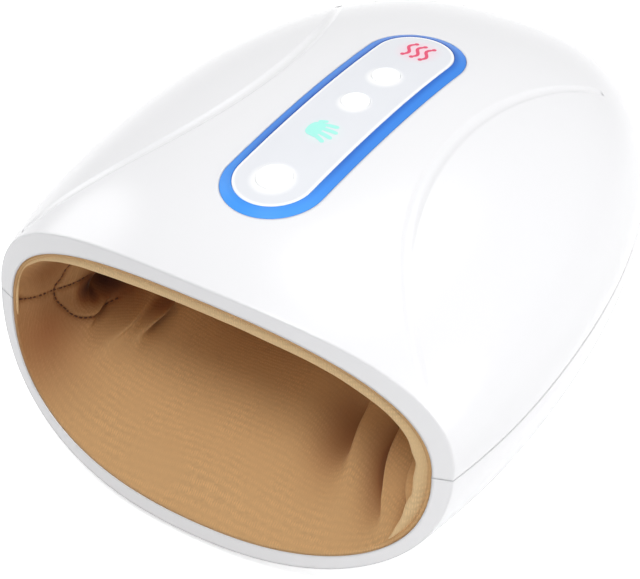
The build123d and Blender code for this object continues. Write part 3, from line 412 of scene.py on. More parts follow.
def knitted_lining(settings, name="knitted_polyester_lining", color=None):
    """Warp-knitted polyester: rows of fine loops that catch the light, with a soft sheen at grazing angles."""
    material = bpy.data.materials.new(name)
    tree, surface, place = insides(material)
    color = color or settings.lining_color
    pitch = settings.stitch_pitch
    wander = add(tree, "TexNoise", {"Vector": place, "Scale": WANDER_SCALE / pitch, "Detail": 2.0})
    centred = add(tree, "VectorMath", {0: wander.outputs["Color"], 1: (0.5, 0.5, 0.5)}, operation="SUBTRACT")
    pushed = add(tree, "VectorMath", {0: centred.outputs[0], "Scale": WANDER * pitch}, operation="SCALE")
    bent = add(tree, "VectorMath", {0: place, 1: pushed.outputs[0]}, operation="ADD")
    # A band repeats every 2 pi / 20 of a unit at scale 1, so this is the scale for one wale
    wale = 2 * pi / 20 / pitch
    across = add(tree, "TexWave", {"Vector": bent.outputs[0], "Scale": wale}, bands_direction="X")
    turned = add(tree, "Mapping", {"Vector": bent.outputs[0], "Rotation": (COURSE_SLANT, 0, 0)})
    along = add(tree, "TexWave", {"Vector": turned.outputs["Vector"], "Scale": wale}, bands_direction="Y")
    woven = add(tree, "Math", {0: across.outputs["Fac"], 1: along.outputs["Fac"]}, operation="MULTIPLY")
    fuzz = add(tree, "TexNoise", {"Vector": place, "Scale": FUZZ_SCALE / pitch, "Detail": 3.0})
    ragged = add(tree, "MapRange", {"Value": fuzz.outputs["Fac"], "From Min": 0.3, "From Max": 0.7})
    loops = add(tree, "Mix", {0: FUZZ, 2: woven.outputs["Value"], 3: ragged.outputs["Result"]})
    cloud = add(tree, "TexNoise", {"Vector": place, "Scale": PATCH_SCALE, "Detail": 4.0})
    deep = blend(tree, loops.outputs["Result"], rgba([c * LOOP_LOW for c in color]),
                 rgba([min(1.0, c * LOOP_HIGH) for c in color]))
    patch = add(tree, "MapRange", {"Value": cloud.outputs["Fac"], "From Min": 0.35, "From Max": 0.65,
                                   "To Min": 0.2, "To Max": 0.8})
    even = blend(tree, patch.outputs["Result"], deep, rgba([c * LOOP_EVEN for c in color]))
    # The tone falls through the crease's painted shade to the hollow's, as the layer of painted shade goes from 0
    # to 1
    hollow = add(tree, "Attribute", attribute_name=SHADE_LAYER_NAME).outputs["Fac"]
    half = add(tree, "MapRange", {"Value": hollow, "From Max": 0.55})
    brown = blend(tree, half.outputs["Result"], even, rgba(srgb(CREASE_SHADE_TONE)))
    rest = add(tree, "MapRange", {"Value": hollow, "From Min": 0.5})
    tone = blend(tree, rest.outputs["Result"], brown, rgba(srgb(HOLLOW_SHADE_TONE)))
    tree.links.new(tone, surface.inputs["Base Color"])
    relief = add(tree, "Bump", {"Height": loops.outputs["Result"], "Strength": 0.4, "Distance": 0.2 * MM})
    tree.links.new(relief.outputs["Normal"], surface.inputs["Normal"])
    for socket, value in (("Roughness", 0.85), ("IOR", 1.5), ("Sheen Weight", 0.2), ("Sheen Roughness", 0.45),
                          ("Sheen Tint", rgba(srgb("E8CFA6")))):
        surface.inputs[socket].default_value = value
    return material


def make_finishes(settings):
    """Every finish by the record's slot name."""
    # Numbers of a plain finish: roughness, variation of its tone, grain in millimetres and relief
    return {
        "white_gloss_shell": moulded_shell(settings),
        "blue_light_guide": lit_ring(settings),
        "pale_panel": frosted_panel(),
        # Backlit ABS keys: brighter than the panel, with a soft gloss
        "white_button": shade("backlit_white_abs", srgb("FAFBFC"), 0.3, 0.01, 0.3, 0.03, IOR=1.53,
                              Emission_Color=rgba(srgb("FFFFFF")), Emission_Strength=0.16),
        # Glass-filled nylon, spark-eroded mould: dull black
        "black_plastic": shade("black_nylon", srgb("1D1D1F"), 0.55, 0.2, 0.2, 0.2),
        # Solder mask over copper: dark green with a satin gloss
        "green_board": shade("green_solder_mask", srgb("1F5A38"), 0.35, 0.35, 0.5, 0.1),
        "steel_screw": shade("zinc_plated_steel", srgb("B9BBBE"), 0.32, 0.15, 0.3, 0.1, Metallic=1.0),
        # Natural ABS of the inner frames: off-white, eroded
        "white_inner": shade("natural_abs", srgb("E4E2DC"), 0.5, 0.05, 0.3, 0.15),
        "clear_lamp": shade("lamp_epoxy", srgb("F2EBCB"), 0.15, 0.05, 0.3, 0.0, Transmission_Weight=0.4, IOR=1.5),
        "tan_fabric": knitted_lining(settings),
        # Polyurethane film of the bags: grey with a soft shine
        "grey_film": shade("welded_polyurethane_film", srgb("8C8E92"), 0.38, 0.12, 3.0, 0.3, depth=0.3),
        "dark_rubber": shade("black_silicone_rubber", srgb("2B2B2C"), 0.7, 0.2, 0.25, 0.25),
        # Polyimide heater film over etched tracks
        "amber_film": shade("polyimide_heater_film", srgb("B56B1F"), 0.3, 0.3, 1.5, 0.1),
        "battery_wrap": shade("blue_heat_shrink", srgb("2F5FB0"), 0.35, 0.12, 2.0, 0.2, depth=0.1),
        # Cold-rolled sheet: grey with fine rolling streaks
        "steel_sheet": shade("cold_rolled_steel", srgb("B4B6B9"), 0.3, 0.12, 0.4, 0.1, Metallic=1.0),
        "bronze_bush": shade("sintered_bronze", srgb("B08A54"), 0.45, 0.25, 0.15, 0.3, Metallic=1.0),
        "dark_iron": shade("laminated_iron", srgb("5A5A5C"), 0.5, 0.25, 0.3, 0.2, Metallic=1.0),
        "silicone_tube": shade("clear_silicone_tube", srgb("DAD9D2"), 0.35, 0.05, 0.5, 0.05,
                               Transmission_Weight=0.3, IOR=1.41),
    }


# Lining. An angle goes round the mouth from its right end over its top. Travel is 0 at the mouth's edge, 1 where
# the flat pocket starts and 2 at the pocket's end.
HEM_GAP = 0.05
# Below the middle the cloth closes in sooner than above it, fully so from this sine of the angle on
EARLY_SINE = 0.7
# How far the pocket narrows and flattens at its end
END_NARROWING, END_FLATTENING = 0.93, 0.3


def lining_point(angle, travel, depth, inset):
    """Point of the smooth lining: it starts at the mouth's edge and eases into the flat pocket."""
    hem_x, hem_z = arch(angle, MOUTH_WIDTH - HEM_GAP - inset, MOUTH_TOP - HEM_GAP - inset,
                        MOUTH_BOTTOM - HEM_GAP - inset, MOUTH_TOP_SQUARE, MOUTH_BOTTOM_SQUARE)
    start = front_y(hem_z, hem_x, depth)
    wide, high = POCKET_WIDTH - inset, POCKET_HEIGHT - inset
    if travel <= 1:
        pocket_x, pocket_z = arch(angle, wide, high, high, POCKET_SQUARE, POCKET_SQUARE)
        late = smooth(travel)
        early = sin(travel * pi / 2)
        rise = late + (early - late) * smooth(-sin(angle), 0.0, EARLY_SINE)
        y = start + (LIP_Y + POCKET_START - start) * travel
        return Vector((hem_x + (pocket_x - hem_x) * late, y, hem_z + (pocket_z - hem_z) * rise))
    share = travel - 1
    taper = (1 - (share * END_NARROWING) ** 3) ** (1 / 3)
    flat = 1 - END_FLATTENING * share**6
    x, z = arch(angle, wide * taper, high * flat, high * flat, POCKET_SQUARE, POCKET_SQUARE)
    return Vector((x, LIP_Y + POCKET_START + (POCKET_END - POCKET_START) * share, z))


FOLDS = (
    # angle and its width in degrees, travel where it is deepest, reach in travel, depth as a share
    (-66, 6, 0.58, 0.22, 1.1),
    (-57, 4.5, 0.5, 0.2, -0.5),
    (-46.5, 4.8, 0.43, 0.24, 1.5),
    (-39, 2.8, 0.36, 0.26, -0.85),
    (-31.5, 2.6, 0.22, 0.17, 1.2),
    (-24, 4, 0.26, 0.2, -0.7),
    (-120.5, 2.6, 0.66, 0.13, 0.85),
    (-125, 2.8, 0.66, 0.13, -0.8),
    (-133.5, 3.4, 0.52, 0.14, -0.85),
    (-139, 3.4, 0.54, 0.14, 0.95),
    (-153, 12, 0.68, 0.16, 1.6),
    (-100, 16, 0.95, 0.25, 0.8),
    (160, 20, 0.6, 0.3, 0.15),
)
# Places where the lining's cloth is darkened by painted shade
SHADED = (
    # angle and its width in degrees, travel, reach in travel, how dark the painted shade on the cloth is there
    (-149, 14, 0.69, 0.15, 1.0),
    (-162, 13, 0.54, 0.13, 0.97),
    (-153, 8, 0.56, 0.09, 0.9),
    (-160, 26, 0.19, 0.32, 0.52),
    (-142, 5, 0.62, 0.08, 0.55),
    (174, 14, 0.25, 0.25, 0.45),
    (-127.5, 5, 0.7, 0.12, 0.6),
    (-90, 60, 1.05, 0.3, 0.12),
    (-67, 6, 0.55, 0.2, 0.5),
    (-47.5, 5, 0.42, 0.19, 0.95),
    (-31.5, 2.6, 0.22, 0.15, 0.6),
)
# Sewn seams at the left of the funnel, each as angle in degrees and travel
SEAMS = (
    ((176, 0.46), (179, 0.41), (182, 0.36), (184, 0.31), (190, 0.31), (197, 0.34), (208, 0.38),
     (215, 0.44), (219, 0.5), (221, 0.57), (222, 0.64)),
    ((181, 0.05), (183, 0.16), (185, 0.31), (188, 0.44), (190, 0.56)),
)
SEAM_STEPS = 12
# Where the seams lie, in degrees, and how far in they end
SEAM_LEFT, SEAM_RIGHT, SEAM_END = 170, 230, 0.8
GROOVE_DEPTH, GROOVE_REACH = 1.1, 1.1
MM_PER_DEGREE = 0.95
# Slack of the cloth: it comes and goes between these travels, is drawn in by so much, and ripples
SLACK_START, SLACK_FULL, SLACK_FALL, SLACK_END = 0.02, 0.2, 1.0, 1.2
DRAWN_IN, RIPPLE, RIPPLE_SCALE = 1.0, 1.2, 0.025
# How dark the painted shade is in a deep fold, and per millimetre of a seam's groove
FOLD_SHADE, SEAM_SHADE = 0.6, 0.55


def seam_line(points):
    """Places along a seam, eased through its points."""
    line = []
    for index in range(len(points) - 1):
        ends = [Vector(points[min(max(k, 0), len(points) - 1)]) for k in range(index - 1, index + 3)]
        for step in range(SEAM_STEPS):
            u = step / SEAM_STEPS
            line.append(0.5 * (2 * ends[1] + (ends[2] - ends[0]) * u
                               + (2 * ends[0] - 5 * ends[1] + 4 * ends[2] - ends[3]) * u**2
                               + (3 * ends[1] - ends[0] - 3 * ends[2] + ends[3]) * u**3))
    line.append(Vector(points[-1]))
    return line


SEAM_LINES = [seam_line(points) for points in SEAMS]


def seam_groove(degrees_round, travel):
    """How far a seam's groove draws the cloth outwards here, in millimetres."""
    turn = degrees_round % 360
    if not (SEAM_LEFT < turn < SEAM_RIGHT and travel < SEAM_END):
        return 0.0
    near = min(hypot((turn - spot.x) * MM_PER_DEGREE, (travel - spot.y) * POCKET_START)
               for line in SEAM_LINES for spot in line[::2])
    return GROOVE_DEPTH * exp(-(near / GROOVE_REACH) ** 2)


def strength(row, angle, travel):
    """How strong one row of the tables of folds and of worn cloth is here."""
    where, width, middle, reach, depth = row
    gap = (angle * 180 / pi - where + 180) % 360 - 180
    return depth * exp(-(gap / width) ** 2) * exp(-((travel - middle) / reach) ** 2)


def fold_push(angle, travel):
    """How far the folds push the cloth outwards here, as a share of the fold depth."""
    return sum(strength(row, angle, travel) for row in FOLDS)


def lining_surface(settings, angle, travel, inset):
    """Point of the lining with its folds and seams."""
    point = lining_point(angle, travel, settings.hem_depth / MM, inset)
    outward = Vector((point.x * 0.6, 0, point.z)).normalized()
    loose = smooth(travel, SLACK_START, SLACK_FULL) * (1 - smooth(travel, SLACK_FALL, SLACK_END))
    ripple = noise.noise(point * RIPPLE_SCALE) * RIPPLE
    fold = settings.fold_depth / MM * fold_push(angle, travel)
    push = loose * (ripple - DRAWN_IN + fold) + seam_groove(angle * 180 / pi, travel)
    return point + outward * push + Vector((0, 0, PARTING_Z))


def painted_shade_share(angle, travel):
    """How dark the painted shade on the cloth is in a crease, a seam's groove or a deep corner, from 0 to 1."""
    share = FOLD_SHADE * smooth(fold_push(angle, travel), 0.2, 1.5)
    share = max(share, *(strength(row, angle, travel) for row in SHADED))
    return min(1.0, max(share, SEAM_SHADE * seam_groove(angle * 180 / pi, travel)))


# Points round the lining, and rings along funnel and pocket
COLUMNS = 480
INNER_RINGS, OUTER_RINGS = (110, 32), (30, 14)


def travels(funnel, pocket):
    """Travel of each ring, the ring where the pocket starts counted once."""
    return spaced(0, 1, funnel) + spaced(1, 2, pocket)[1:]


def lining_grid(settings, inset, stages):
    return [[lining_surface(settings, 2 * pi * column / COLUMNS, travel, inset) for column in range(COLUMNS)]
            for travel in stages]


class MASSAGER_OT_lining(bpy.types.Operator):
    """Build the knitted pouch that funnels in from the mouth to a flat pocket"""
    bl_idname = "massager.lining"
    bl_label = "Knitted lining"

    def execute(self, context):
        settings = context.scene.massager_lining
        inner_stages, outer_stages = travels(*INNER_RINGS), travels(*OUTER_RINGS)[::-1]
        inner = lining_grid(settings, settings.thickness / MM, inner_stages)
        rings = lining_grid(settings, 0.0, outer_stages) + inner
        vertices = [point for ring in rings for point in ring]
        lining = make_object("knitted_pouch", vertices, tube_faces(len(rings), COLUMNS))
        # The layer of painted shade: it darkens the cloth in its creases, seams and deep corners
        painted_shade_colors = lining.data.color_attributes.new(SHADE_LAYER_NAME, "FLOAT_COLOR", "POINT")
        shares = [painted_shade_share(2 * pi * column / COLUMNS, travel) for travel in outer_stages + inner_stages
                  for column in range(COLUMNS)]
        painted_shade_colors.data.foreach_set("color", [value for share in shares for value in (share, share, share, 1)])
        attach(lining, FINISHES["tan_fabric"], ["fabric_pouch"])
        return {"FINISHED"}


STITCH_PITCH, STITCH_RADIUS, STITCH_RINGS, STITCH_SIDES = 1.7, 0.27, 7, 8
# A stitch starts so far into its pitch and covers so much of it
STITCH_START, STITCH_COVER = 0.14, 0.72


def add_stitch(vertices, faces, start, end):
    """Adds one stitch, a short rounded bar of thread."""
    run = end - start
    side = run.cross(Vector((0, 0, 1))).normalized()
    rise = side.cross(run).normalized()
    first = len(vertices)
    for share in spaced(0, 1, STITCH_RINGS):
        radius = STITCH_RADIUS * max(0.05, (1 - (2 * share - 1) ** 4)) ** 0.5
        middle = start + run * (STITCH_START + STITCH_COVER * share)
        for turn in range(STITCH_SIDES):
            spin = 2 * pi * turn / STITCH_SIDES
            vertices.append(middle + side * radius * cos(spin) + rise * radius * sin(spin))
    faces.extend(tube_faces(STITCH_RINGS, STITCH_SIDES, first))


class MASSAGER_OT_stitches(bpy.types.Operator):
    """Build the row of thread stitches along each sewn seam of the lining"""
    bl_idname = "massager.stitches"
    bl_label = "Stitches"

    def execute(self, context):
        settings = context.scene.massager_lining
        cloth = settings.thickness / MM
        vertices, faces = [], []
        for line in SEAM_LINES:
            places = [lining_surface(settings, radians(spot.x), spot.y, cloth) for spot in line]
            gone, start = 0.0, places[0]
            for before, after in zip(places, places[1:]):
                gone += (after - before).length
                if gone >= STITCH_PITCH:
                    add_stitch(vertices, faces, start, after)
                    gone, start = 0.0, after
        thread = make_object("seam_stitches", vertices, faces)
        cotton = shade("brown_sewing_thread", srgb("5B3A22"), 0.8, variation=0.3, grain=0.15, bump=0.3)
        attach(thread, cotton)
        return {"FINISHED"}


# Roll of cloth: its start and end round the mouth, and its points along and around
ROLL_START, ROLL_END = radians(-40), radians(193)
ROLL_STEPS, ROLL_SIDES = 420, 20
# Shares of its length at which it is full, starts to thin and is thin, and its thin width and thickness
ROLL_FULL, ROLL_THINNING, ROLL_THIN = 0.1, 0.62, 0.88
THIN_WIDTH, THIN_THICKNESS = 0.17, 0.25
# Reach and size of its tapered tips, as shares
TIP_REACH, TIP_SIZE = 0.05, 0.15
# Place and reach, along it, of the loose and crumpled end
CRUMPLE_AT, CRUMPLE_REACH = 0.14, 0.07
ROLL_INSET, ROLL_SETBACK, ROLL_SETBACK_FULL = 0.5, 0.4, 1.1
ROLL_POWERS, ROLL_LEAN = (0.7, 0.8), 0.6
# Unevenness of its place, width and lean: waves along it, where in the noise, amount, and amount more where loose
CRUMPLE, PUFF, SAG = (26, 0, 0.15, 0.6), (20, 5, 0.2, 1.4), (11, 3, 0.35, 0.0)


def uneven(row, share, loose):
    """Unevenness by one row of these, at a share of the length."""
    waves, seed, amount, more = row
    return noise.noise(Vector((share * waves, seed, 0))) * (amount + more * loose)


class MASSAGER_OT_hem_roll(bpy.types.Operator):
    """Build the padded roll of cloth along the inside of the mouth's top edge"""
    bl_idname = "massager.hem_roll"
    bl_label = "Hem roll"

    def execute(self, context):
        settings = context.scene.massager_lining
        vertices = []
        for share in spaced(0, 1, ROLL_STEPS):
            angle = ROLL_START + (ROLL_END - ROLL_START) * share
            full = smooth(share, 0.0, ROLL_FULL) * (1 - smooth(share, ROLL_THINNING, ROLL_THIN))
            tip = TIP_SIZE + (1 - TIP_SIZE) * smooth(min(share, 1 - share), 0.0, TIP_REACH)
            width = settings.roll_width / MM * (THIN_WIDTH + (1 - THIN_WIDTH) * full) * tip
            thick = settings.roll_thickness / MM * (THIN_THICKNESS + (1 - THIN_THICKNESS) * full) * tip
            edge_x, edge_z = arch(angle, MOUTH_WIDTH - ROLL_INSET, MOUTH_TOP - ROLL_INSET,
                                  MOUTH_BOTTOM - ROLL_INSET, MOUTH_TOP_SQUARE, MOUTH_BOTTOM_SQUARE)
            inward = Vector((-edge_x / MOUTH_WIDTH**2, 0, -edge_z / MOUTH_TOP**2)).normalized()
            loose = exp(-((share - CRUMPLE_AT) / CRUMPLE_REACH) ** 2)
            width += uneven(PUFF, share, loose)
            middle = Vector((edge_x, 0, edge_z)) + inward * (width / 2 + uneven(CRUMPLE, share, loose))
            depth = ROLL_SETBACK + ROLL_SETBACK_FULL * full + thick / 2
            for turn in range(ROLL_SIDES):
                spin = 2 * pi * turn / ROLL_SIDES
                c = cos(spin)
                place = middle + inward * (width / 2 * signed_power(c, ROLL_POWERS[0]))
                back = thick / 2 * signed_power(sin(spin), ROLL_POWERS[1])
                lean = 0.5 * (1 + c) * (ROLL_LEAN + uneven(SAG, share, loose))
                y = front_y(place.z, place.x, depth) + back + lean
                vertices.append(Vector((place.x, y, place.z + PARTING_Z)))
        roll = make_object("padded_hem_roll", vertices, tube_faces(ROLL_STEPS, ROLL_SIDES))
        # The roll's cloth is a lighter copy of the lining's knit: painted light, for the light that falls on the
        # roll's face
        pale = knitted_lining(context.scene.massager_finish, "knitted_polyester_hem_painted_light", srgb("EDCB98"))
        attach(roll, pale)
        return {"FINISHED"}


# Signs: how far their ink's underside and top lie over the panel
INK_LIFTS = (0.02, 0.07)
WAVE_POINTS, DOT_POINTS, PALM_POINTS, FINGER_POINTS, THUMB_POINTS = 33, 13, 31, 21, 15
# Waves of heat: their places, length, sway, turns, stroke and the radius of the dots at their ends
WAVES, WAVE_LENGTH, WAVE_SWAY, WAVE_TURNS, WAVE_STROKE, DOT_RADIUS = (-3.2, 0.0, 3.2), 8.0, 1.0, 1.05, 1.1, 0.75
# Hand on its side: palm at the left, four fingers fanned to the right and a short thumb
PALM_LEFT, PALM_LENGTH, PALM_STROKE = -5.1, 4.9, 7.8
FINGER_LEFT, FINGER_STROKE, FINGER_DROOP = -0.6, 1.45, 0.5
# Height at the palm, angle in degrees and length of each finger
FINGERS = ((3.15, 15, 4.3), (1.1, 5, 5.4), (-0.95, -6, 5.2), (-2.9, -18, 4.1))
THUMB_LEFT, THUMB_UP, THUMB_REACH, THUMB_RISE, THUMB_STROKE = -3.7, 3.5, 2.8, 1.8, 1.3


def stroke(vertices, faces, points, widths):
    """Adds a rounded ribbon along points in plan, on the panel."""
    start = len(vertices)
    count = len(points)
    for index, (x, y) in enumerate(points):
        before, after = points[max(0, index - 1)], points[min(count - 1, index + 1)]
        run = Vector((after[0] - before[0], after[1] - before[1])).normalized()
        half = widths[index] / 2
        for side in (1, -1):
            across, along = x - run.y * half * side, y + run.x * half * side
            for lift in INK_LIFTS:
                vertices.append(crown_point(across, along, -PANEL_RISE) + Vector((0, 0, lift)))
    for index in range(count - 1):
        a = start + index * 4
        b = a + 4
        for p, q in ((0, 1), (1, 3), (3, 2), (2, 0)):
            faces.append((a + p, a + q, b + q, b + p))
    faces.append((start, start + 2, start + 3, start + 1))
    end = start + (count - 1) * 4
    faces.append((end, end + 1, end + 3, end + 2))


def rounded_widths(points, width):
    """Widths of a stroke whose first and last fifth are rounded to a blunt tip."""
    last = len(points) - 1
    return [width * max(0.12, min(1.0, (1 - (1 - min(1.0, 5 * min(i, last - i) / last)) ** 2) ** 0.5))
            for i in range(last + 1)]


def lit_ink(name, code, glow, **looks):
    """Translucent screen-printed ink that the lamps under the panel light."""
    return shade(name, srgb(code), 0.4, grain=0.3, bump=0.0, Emission_Color=rgba(srgb(glow)), **looks)


class MASSAGER_OT_signs(bpy.types.Operator):
    """Build the two lit signs of the control panel, a hand and three waves of heat"""
    bl_idname = "massager.signs"
    bl_label = "Lit signs"

    def execute(self, context):
        vertices, faces = [], []
        for middle in WAVES:
            points = [(middle + WAVE_SWAY * sin(2 * WAVE_TURNS * pi * t), HEAT_Y + WAVE_LENGTH * (t - 0.5))
                      for t in spaced(0, 1, WAVE_POINTS)]
            stroke(vertices, faces, points, rounded_widths(points, WAVE_STROKE))
            for x, y in (points[0], points[-1]):
                dot = [(x, y + DOT_RADIUS * t) for t in spaced(-1, 1, DOT_POINTS)]
                stroke(vertices, faces, dot, [max(0.1, 2 * DOT_RADIUS * (1 - t * t) ** 0.5)
                                              for t in spaced(-1, 1, DOT_POINTS)])
        heat = make_object("heat_sign", vertices, faces, False)
        attach(heat, lit_ink("lit_red_ink", "CF4566", "E0486E", variation=0.1, Emission_Strength=0.25))
        vertices, faces = [], []
        palm = [(PALM_LEFT + PALM_LENGTH * t, HAND_Y) for t in spaced(0, 1, PALM_POINTS)]
        stroke(vertices, faces, palm, [PALM_STROKE * (1 - (1.6 * t - 1) ** 4) ** 0.5 * (0.8 + 0.2 * t)
                                       for t in spaced(0, 1, PALM_POINTS)])
        for lift, bend, reach in FINGERS:
            points = [(FINGER_LEFT + reach * t * cos(radians(bend)),
                       HAND_Y + lift + reach * t * sin(radians(bend)) - FINGER_DROOP * t * t)
                      for t in spaced(0, 1, FINGER_POINTS)]
            stroke(vertices, faces, points, rounded_widths(points, FINGER_STROKE))
        thumb = [(THUMB_LEFT + THUMB_REACH * t, HAND_Y + THUMB_UP + THUMB_RISE * t - FINGER_DROOP * t * t)
                 for t in spaced(0, 1, THUMB_POINTS)]
        stroke(vertices, faces, thumb, rounded_widths(thumb, THUMB_STROKE))
        hand = make_object("hand_sign", vertices, faces, False)
        attach(hand, lit_ink("lit_teal_ink", "A5EBE0", "8FF5E2", variation=0.05, Emission_Strength=0.12))
        return {"FINISHED"}


# Air cushions: rings and points of each sheet, its squareness, half the weld's thickness, its room and puckers
SHEET_RINGS, SHEET_COLUMNS, SHEET_SQUARE = 26, 96, 4
WELD_HALF, WELD_ROOM = 0.25, 0.3
PUCKERS, PUCKER_DEPTH = 24, 0.06
# Parts of one bag, palm, fingers and neck: setback, half sizes, how much thinner than the bag, width of the weld
BAG_PARTS = ((92.7, 52, 23, 0, 2.5), (140.7, 44, 20, 0, 2.5), (117.5, 11, 7, 3, 1.0))


def cushion(vertices, faces, centre_y, half_x, half_y, low, high, weld):
    """Adds a welded pillow: two domed sheets that meet in a flat seam."""
    middle = (low + high) / 2
    start = len(vertices)
    edge = 1 - weld / min(half_x, half_y)
    for side in (1, -1):
        for share in spaced(0, 1, SHEET_RINGS):
            for column in range(SHEET_COLUMNS):
                angle = 2 * pi * column / SHEET_COLUMNS
                # A hair's breadth keeps the innermost points apart
                reach = half_y * share + 0.001
                x, y = arch(angle, half_x * share + 0.001, reach, reach, SHEET_SQUARE, SHEET_SQUARE)
                dome = max(0.0, 1 - (share / edge) ** 3) ** 0.5 if share < edge else 0.0
                pucker = 1 + PUCKER_DEPTH * sin(angle * PUCKERS) * share**3
                rise = WELD_HALF + ((high - low) / 2 - WELD_ROOM) * dome * min(1, pucker)
                vertices.append(Vector((x, centre_y + y, middle + side * rise)))
    sheet = SHEET_RINGS * SHEET_COLUMNS
    faces.extend(grid_faces(SHEET_RINGS, SHEET_COLUMNS, start))
    faces.extend(grid_faces(SHEET_RINGS, SHEET_COLUMNS, start + sheet, flip=True))
    upper_rim, lower_rim = start + sheet - SHEET_COLUMNS, start + 2 * sheet - SHEET_COLUMNS
    for column in range(SHEET_COLUMNS):
        after = (column + 1) % SHEET_COLUMNS
        faces.append((upper_rim + column, upper_rim + after, lower_rim + after, lower_rim + column))


class MASSAGER_OT_airbags(bpy.types.Operator):
    """Build the two welded air cushions that squeeze the hand from above and below"""
    bl_idname = "massager.airbags"
    bl_label = "Air cushions"

    def execute(self, context):
        for name in ("upper_airbag", "lower_airbag"):
            low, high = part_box(name)
            vertices, faces = [], []
            for setback, half_x, half_y, thinner, weld in BAG_PARTS:
                cushion(vertices, faces, LIP_Y + setback, half_x, half_y, low[2] / MM + thinner,
                        high[2] / MM - thinner, weld)
            bag = make_object(name + "_film", vertices, faces)
            attach(bag, FINISHES["grey_film"], [name])
        return {"FINISHED"}


class MASSAGER_OT_finishes(bpy.types.Operator):
    """Give every moulded, pressed or printed piece of the frame its finish"""
    bl_idname = "massager.finishes"
    bl_label = "Finishes"

    def execute(self, context):
        FINISHES.update(make_finishes(context.scene.massager_finish))
        for row in frame["record"]["subparts"]:
            slots = frame["nodes"][row["node"]].data.materials
            slots.clear()
            slots.append(FINISHES[row["material_slot"]])
        return {"FINISHED"}


# Lights: name, place, spot aimed at, diameter, setting of the power and share of it
LIGHTS = (
    ("key", (-0.1, -0.5, 1.45), (0, -0.03, 0.05), 0.6, "key_power", 1.0),
    ("front_fill", (0.7, -1.05, 0.75), (0, -0.08, 0.05), 0.6, "fill_power", 0.42),
    ("top_fill", (0.0, 0.6, 1.4), (0, 0.03, 0.05), 0.9, "fill_power", 1.35),
    ("right_fill", (1.4, 0.0, 0.6), (0, 0, 0.05), 0.9, "fill_power", 2.0),
    ("left_fill", (-1.4, 0.2, 0.7), (0, 0, 0.05), 0.9, "fill_power", 0.9),
)
# Strength of the white walls in the gloss and as the camera sees them
MIRRORED_WALLS, SEEN_WALLS = 0.72, 1.0
# Half the floor's side, its own light as seen, and where it starts and ends to fade into white
FLOOR_HALF, FLOOR_LIGHT, FLOOR_FADE_START, FLOOR_FADE_END = 3.0, 0.5, 0.25, 0.9
# Spot that the camera circles, how far left of it and below it the camera aims, and its sensor's width in mm
SUBJECT = (0, 0.0087, 0.053)
FRAMING_LEFT, FRAMING_DOWN = 0.01786, 0.02967
SENSOR_WIDTH, FAR_CLIP = 36, 20


def aim(thing, place, target, up=(0, 0, 1)):
    """Puts a camera or light at a place so that it looks at the target."""
    back = (Vector(place) - Vector(target)).normalized()
    across = Vector(up).cross(back).normalized()
    rise = back.cross(across)
    turn = Matrix((across, rise, back)).transposed().to_4x4()
    thing.matrix_world = Matrix.Translation(Vector(place)) @ turn


def build_lights(scene, settings):
    for name, place, target, size, setting, share in LIGHTS:
        light = bpy.data.lights.new(name, "AREA")
        light.shape = "DISK"
        light.size = size
        light.energy = getattr(settings, setting) * share
        lamp = bpy.data.objects.new(name, light)
        scene.collection.objects.link(lamp)
        aim(lamp, place, target)


def seen_directly(tree):
    """One where a ray comes straight from the camera or off a mirror or through glass."""
    path = add(tree, "LightPath")
    seen = path.outputs["Is Camera Ray"]
    for ray in ("Is Glossy Ray", "Is Transmission Ray"):
        seen = add(tree, "Math", {0: seen, 1: path.outputs[ray]}, operation="MAXIMUM").outputs["Value"]
    return seen


def white_light(tree, kind, strength):
    """Shader of plain white light, as a background or as an emission."""
    return add(tree, kind, {"Color": rgba(srgb("FFFFFF")), "Strength": strength}).outputs[0]


def build_walls(scene, ambient):
    """White walls all round: dim as a light, brighter in the gloss and white to the camera."""
    world = bpy.data.worlds.new("studio")
    scene.world = world
    world.use_nodes = True
    tree = world.node_tree
    tree.nodes.clear()
    path = add(tree, "LightPath")
    unseen = add(tree, "MixShader", {0: path.outputs["Is Glossy Ray"], 1: white_light(tree, "Background", ambient),
                                     2: white_light(tree, "Background", MIRRORED_WALLS)})
    mixed = add(tree, "MixShader", {0: path.outputs["Is Camera Ray"], 1: unseen.outputs[0],
                                    2: white_light(tree, "Background", SEEN_WALLS)})
    add(tree, "OutputWorld", {"Surface": mixed.outputs[0]})


def paper_floor():
    """Matt white paper, lit to near white as seen, that fades into the white walls further off."""
    paper = bpy.data.materials.new("white_paper_floor")
    paper.use_nodes = True
    tree = paper.node_tree
    tree.nodes.clear()
    matt = add(tree, "BsdfDiffuse", {"Color": rgba(srgb("F2F2F2"))})
    both = add(tree, "AddShader", {0: matt.outputs[0], 1: white_light(tree, "Emission", FLOOR_LIGHT)})
    place = add(tree, "TexCoord").outputs["Object"]
    away = add(tree, "VectorMath", {0: place}, operation="LENGTH").outputs["Value"]
    far = ease(tree, away, FLOOR_FADE_START, FLOOR_FADE_END)
    seen = add(tree, "MixShader", {0: far, 1: both.outputs[0], 2: white_light(tree, "Emission", SEEN_WALLS)})
    mixed = add(tree, "MixShader", {0: seen_directly(tree), 1: matt.outputs[0], 2: seen.outputs[0]})
    add(tree, "OutputMaterial", {"Surface": mixed.outputs[0]})
    return paper


def build_floor(scene):
    mesh = bpy.data.meshes.new("floor")
    mesh.from_pydata([(x * FLOOR_HALF, y * FLOOR_HALF, 0) for x, y in ((-1, -1), (1, -1), (1, 1), (-1, 1))],
                     [], [(0, 1, 2, 3)])
    mesh.materials.append(paper_floor())
    floor = bpy.data.objects.new("floor", mesh)
    scene.collection.objects.link(floor)


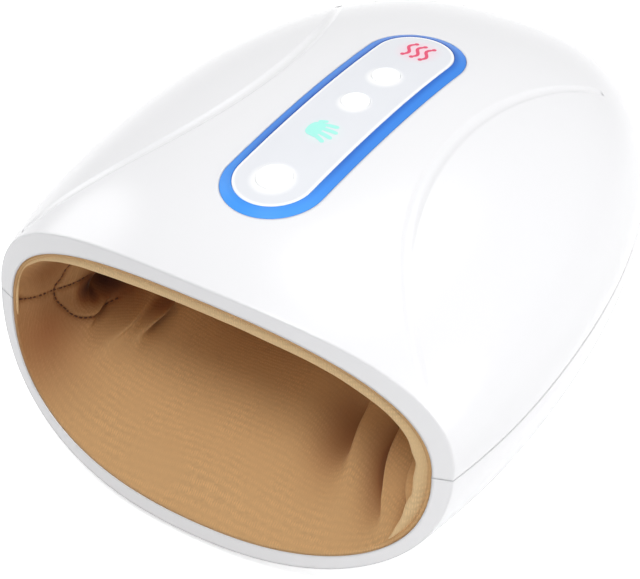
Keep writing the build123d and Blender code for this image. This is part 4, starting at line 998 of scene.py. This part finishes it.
def build_camera(scene, settings):
    """A camera placed by the settings, turned about its own axis and aimed to frame the object."""
    camera = bpy.data.objects.new("camera", bpy.data.cameras.new("camera"))
    scene.collection.objects.link(camera)
    camera.data.lens = settings.lens
    camera.data.sensor_width = SENSOR_WIDTH
    a, e, turn = settings.azimuth, settings.elevation, settings.roll
    back = Vector((sin(a) * cos(e), -cos(a) * cos(e), sin(e)))
    right = Vector((cos(a), sin(a), 0))
    up = back.cross(right)
    rolled_right = right * cos(turn) + up * sin(turn)
    rolled_up = up * cos(turn) - right * sin(turn)
    target = Vector(SUBJECT)
    place = target + back * settings.distance
    aim(camera, place, target - rolled_right * FRAMING_LEFT - rolled_up * FRAMING_DOWN, rolled_up)
    camera.data.clip_end = FAR_CLIP
    scene.camera = camera


class MASSAGER_OT_stage(bpy.types.Operator):
    """Build the pale floor, the soft studio light and the camera"""
    bl_idname = "massager.stage"
    bl_label = "Studio"

    def execute(self, context):
        settings = context.scene.massager_stage
        scene = context.scene
        scene.view_settings.view_transform = "Standard"
        build_walls(scene, settings.ambient)
        build_floor(scene)
        build_lights(scene, settings)
        build_camera(scene, settings)
        return {"FINISHED"}


class MASSAGER_PT_panel(bpy.types.Panel):
    """Lists the settings and the pieces"""
    bl_idname = "MASSAGER_PT_panel"
    bl_label = "Hand massager"
    bl_space_type = "VIEW_3D"
    bl_region_type = "UI"
    bl_category = "Massager"

    def draw(self, context):
        for group in GROUPS:
            box = self.layout.box()
            settings = getattr(context.scene, group)
            for name in settings.__annotations__:
                box.prop(settings, name)
        for step in STEPS:
            self.layout.operator(step.bl_idname)


GROUPS = {"massager_finish": FinishSettings, "massager_lining": LiningSettings, "massager_stage": StageSettings}
STEPS = (MASSAGER_OT_finishes, MASSAGER_OT_lining, MASSAGER_OT_stitches, MASSAGER_OT_hem_roll, MASSAGER_OT_signs,
         MASSAGER_OT_airbags, MASSAGER_OT_stage)


def register():
    for item in (*GROUPS.values(), *STEPS, MASSAGER_PT_panel):
        bpy.utils.register_class(item)
    for name, group in GROUPS.items():
        setattr(bpy.types.Scene, name, PointerProperty(type=group))


def unregister():
    for name in GROUPS:
        delattr(bpy.types.Scene, name)
    for item in (MASSAGER_PT_panel, *reversed(STEPS), *reversed(GROUPS.values())):
        bpy.utils.unregister_class(item)


def main():
    register()
    for step in STEPS:
        group, name = step.bl_idname.split(".")
        getattr(getattr(bpy.ops, group), name)()


if __name__ == "__main__":
    main()
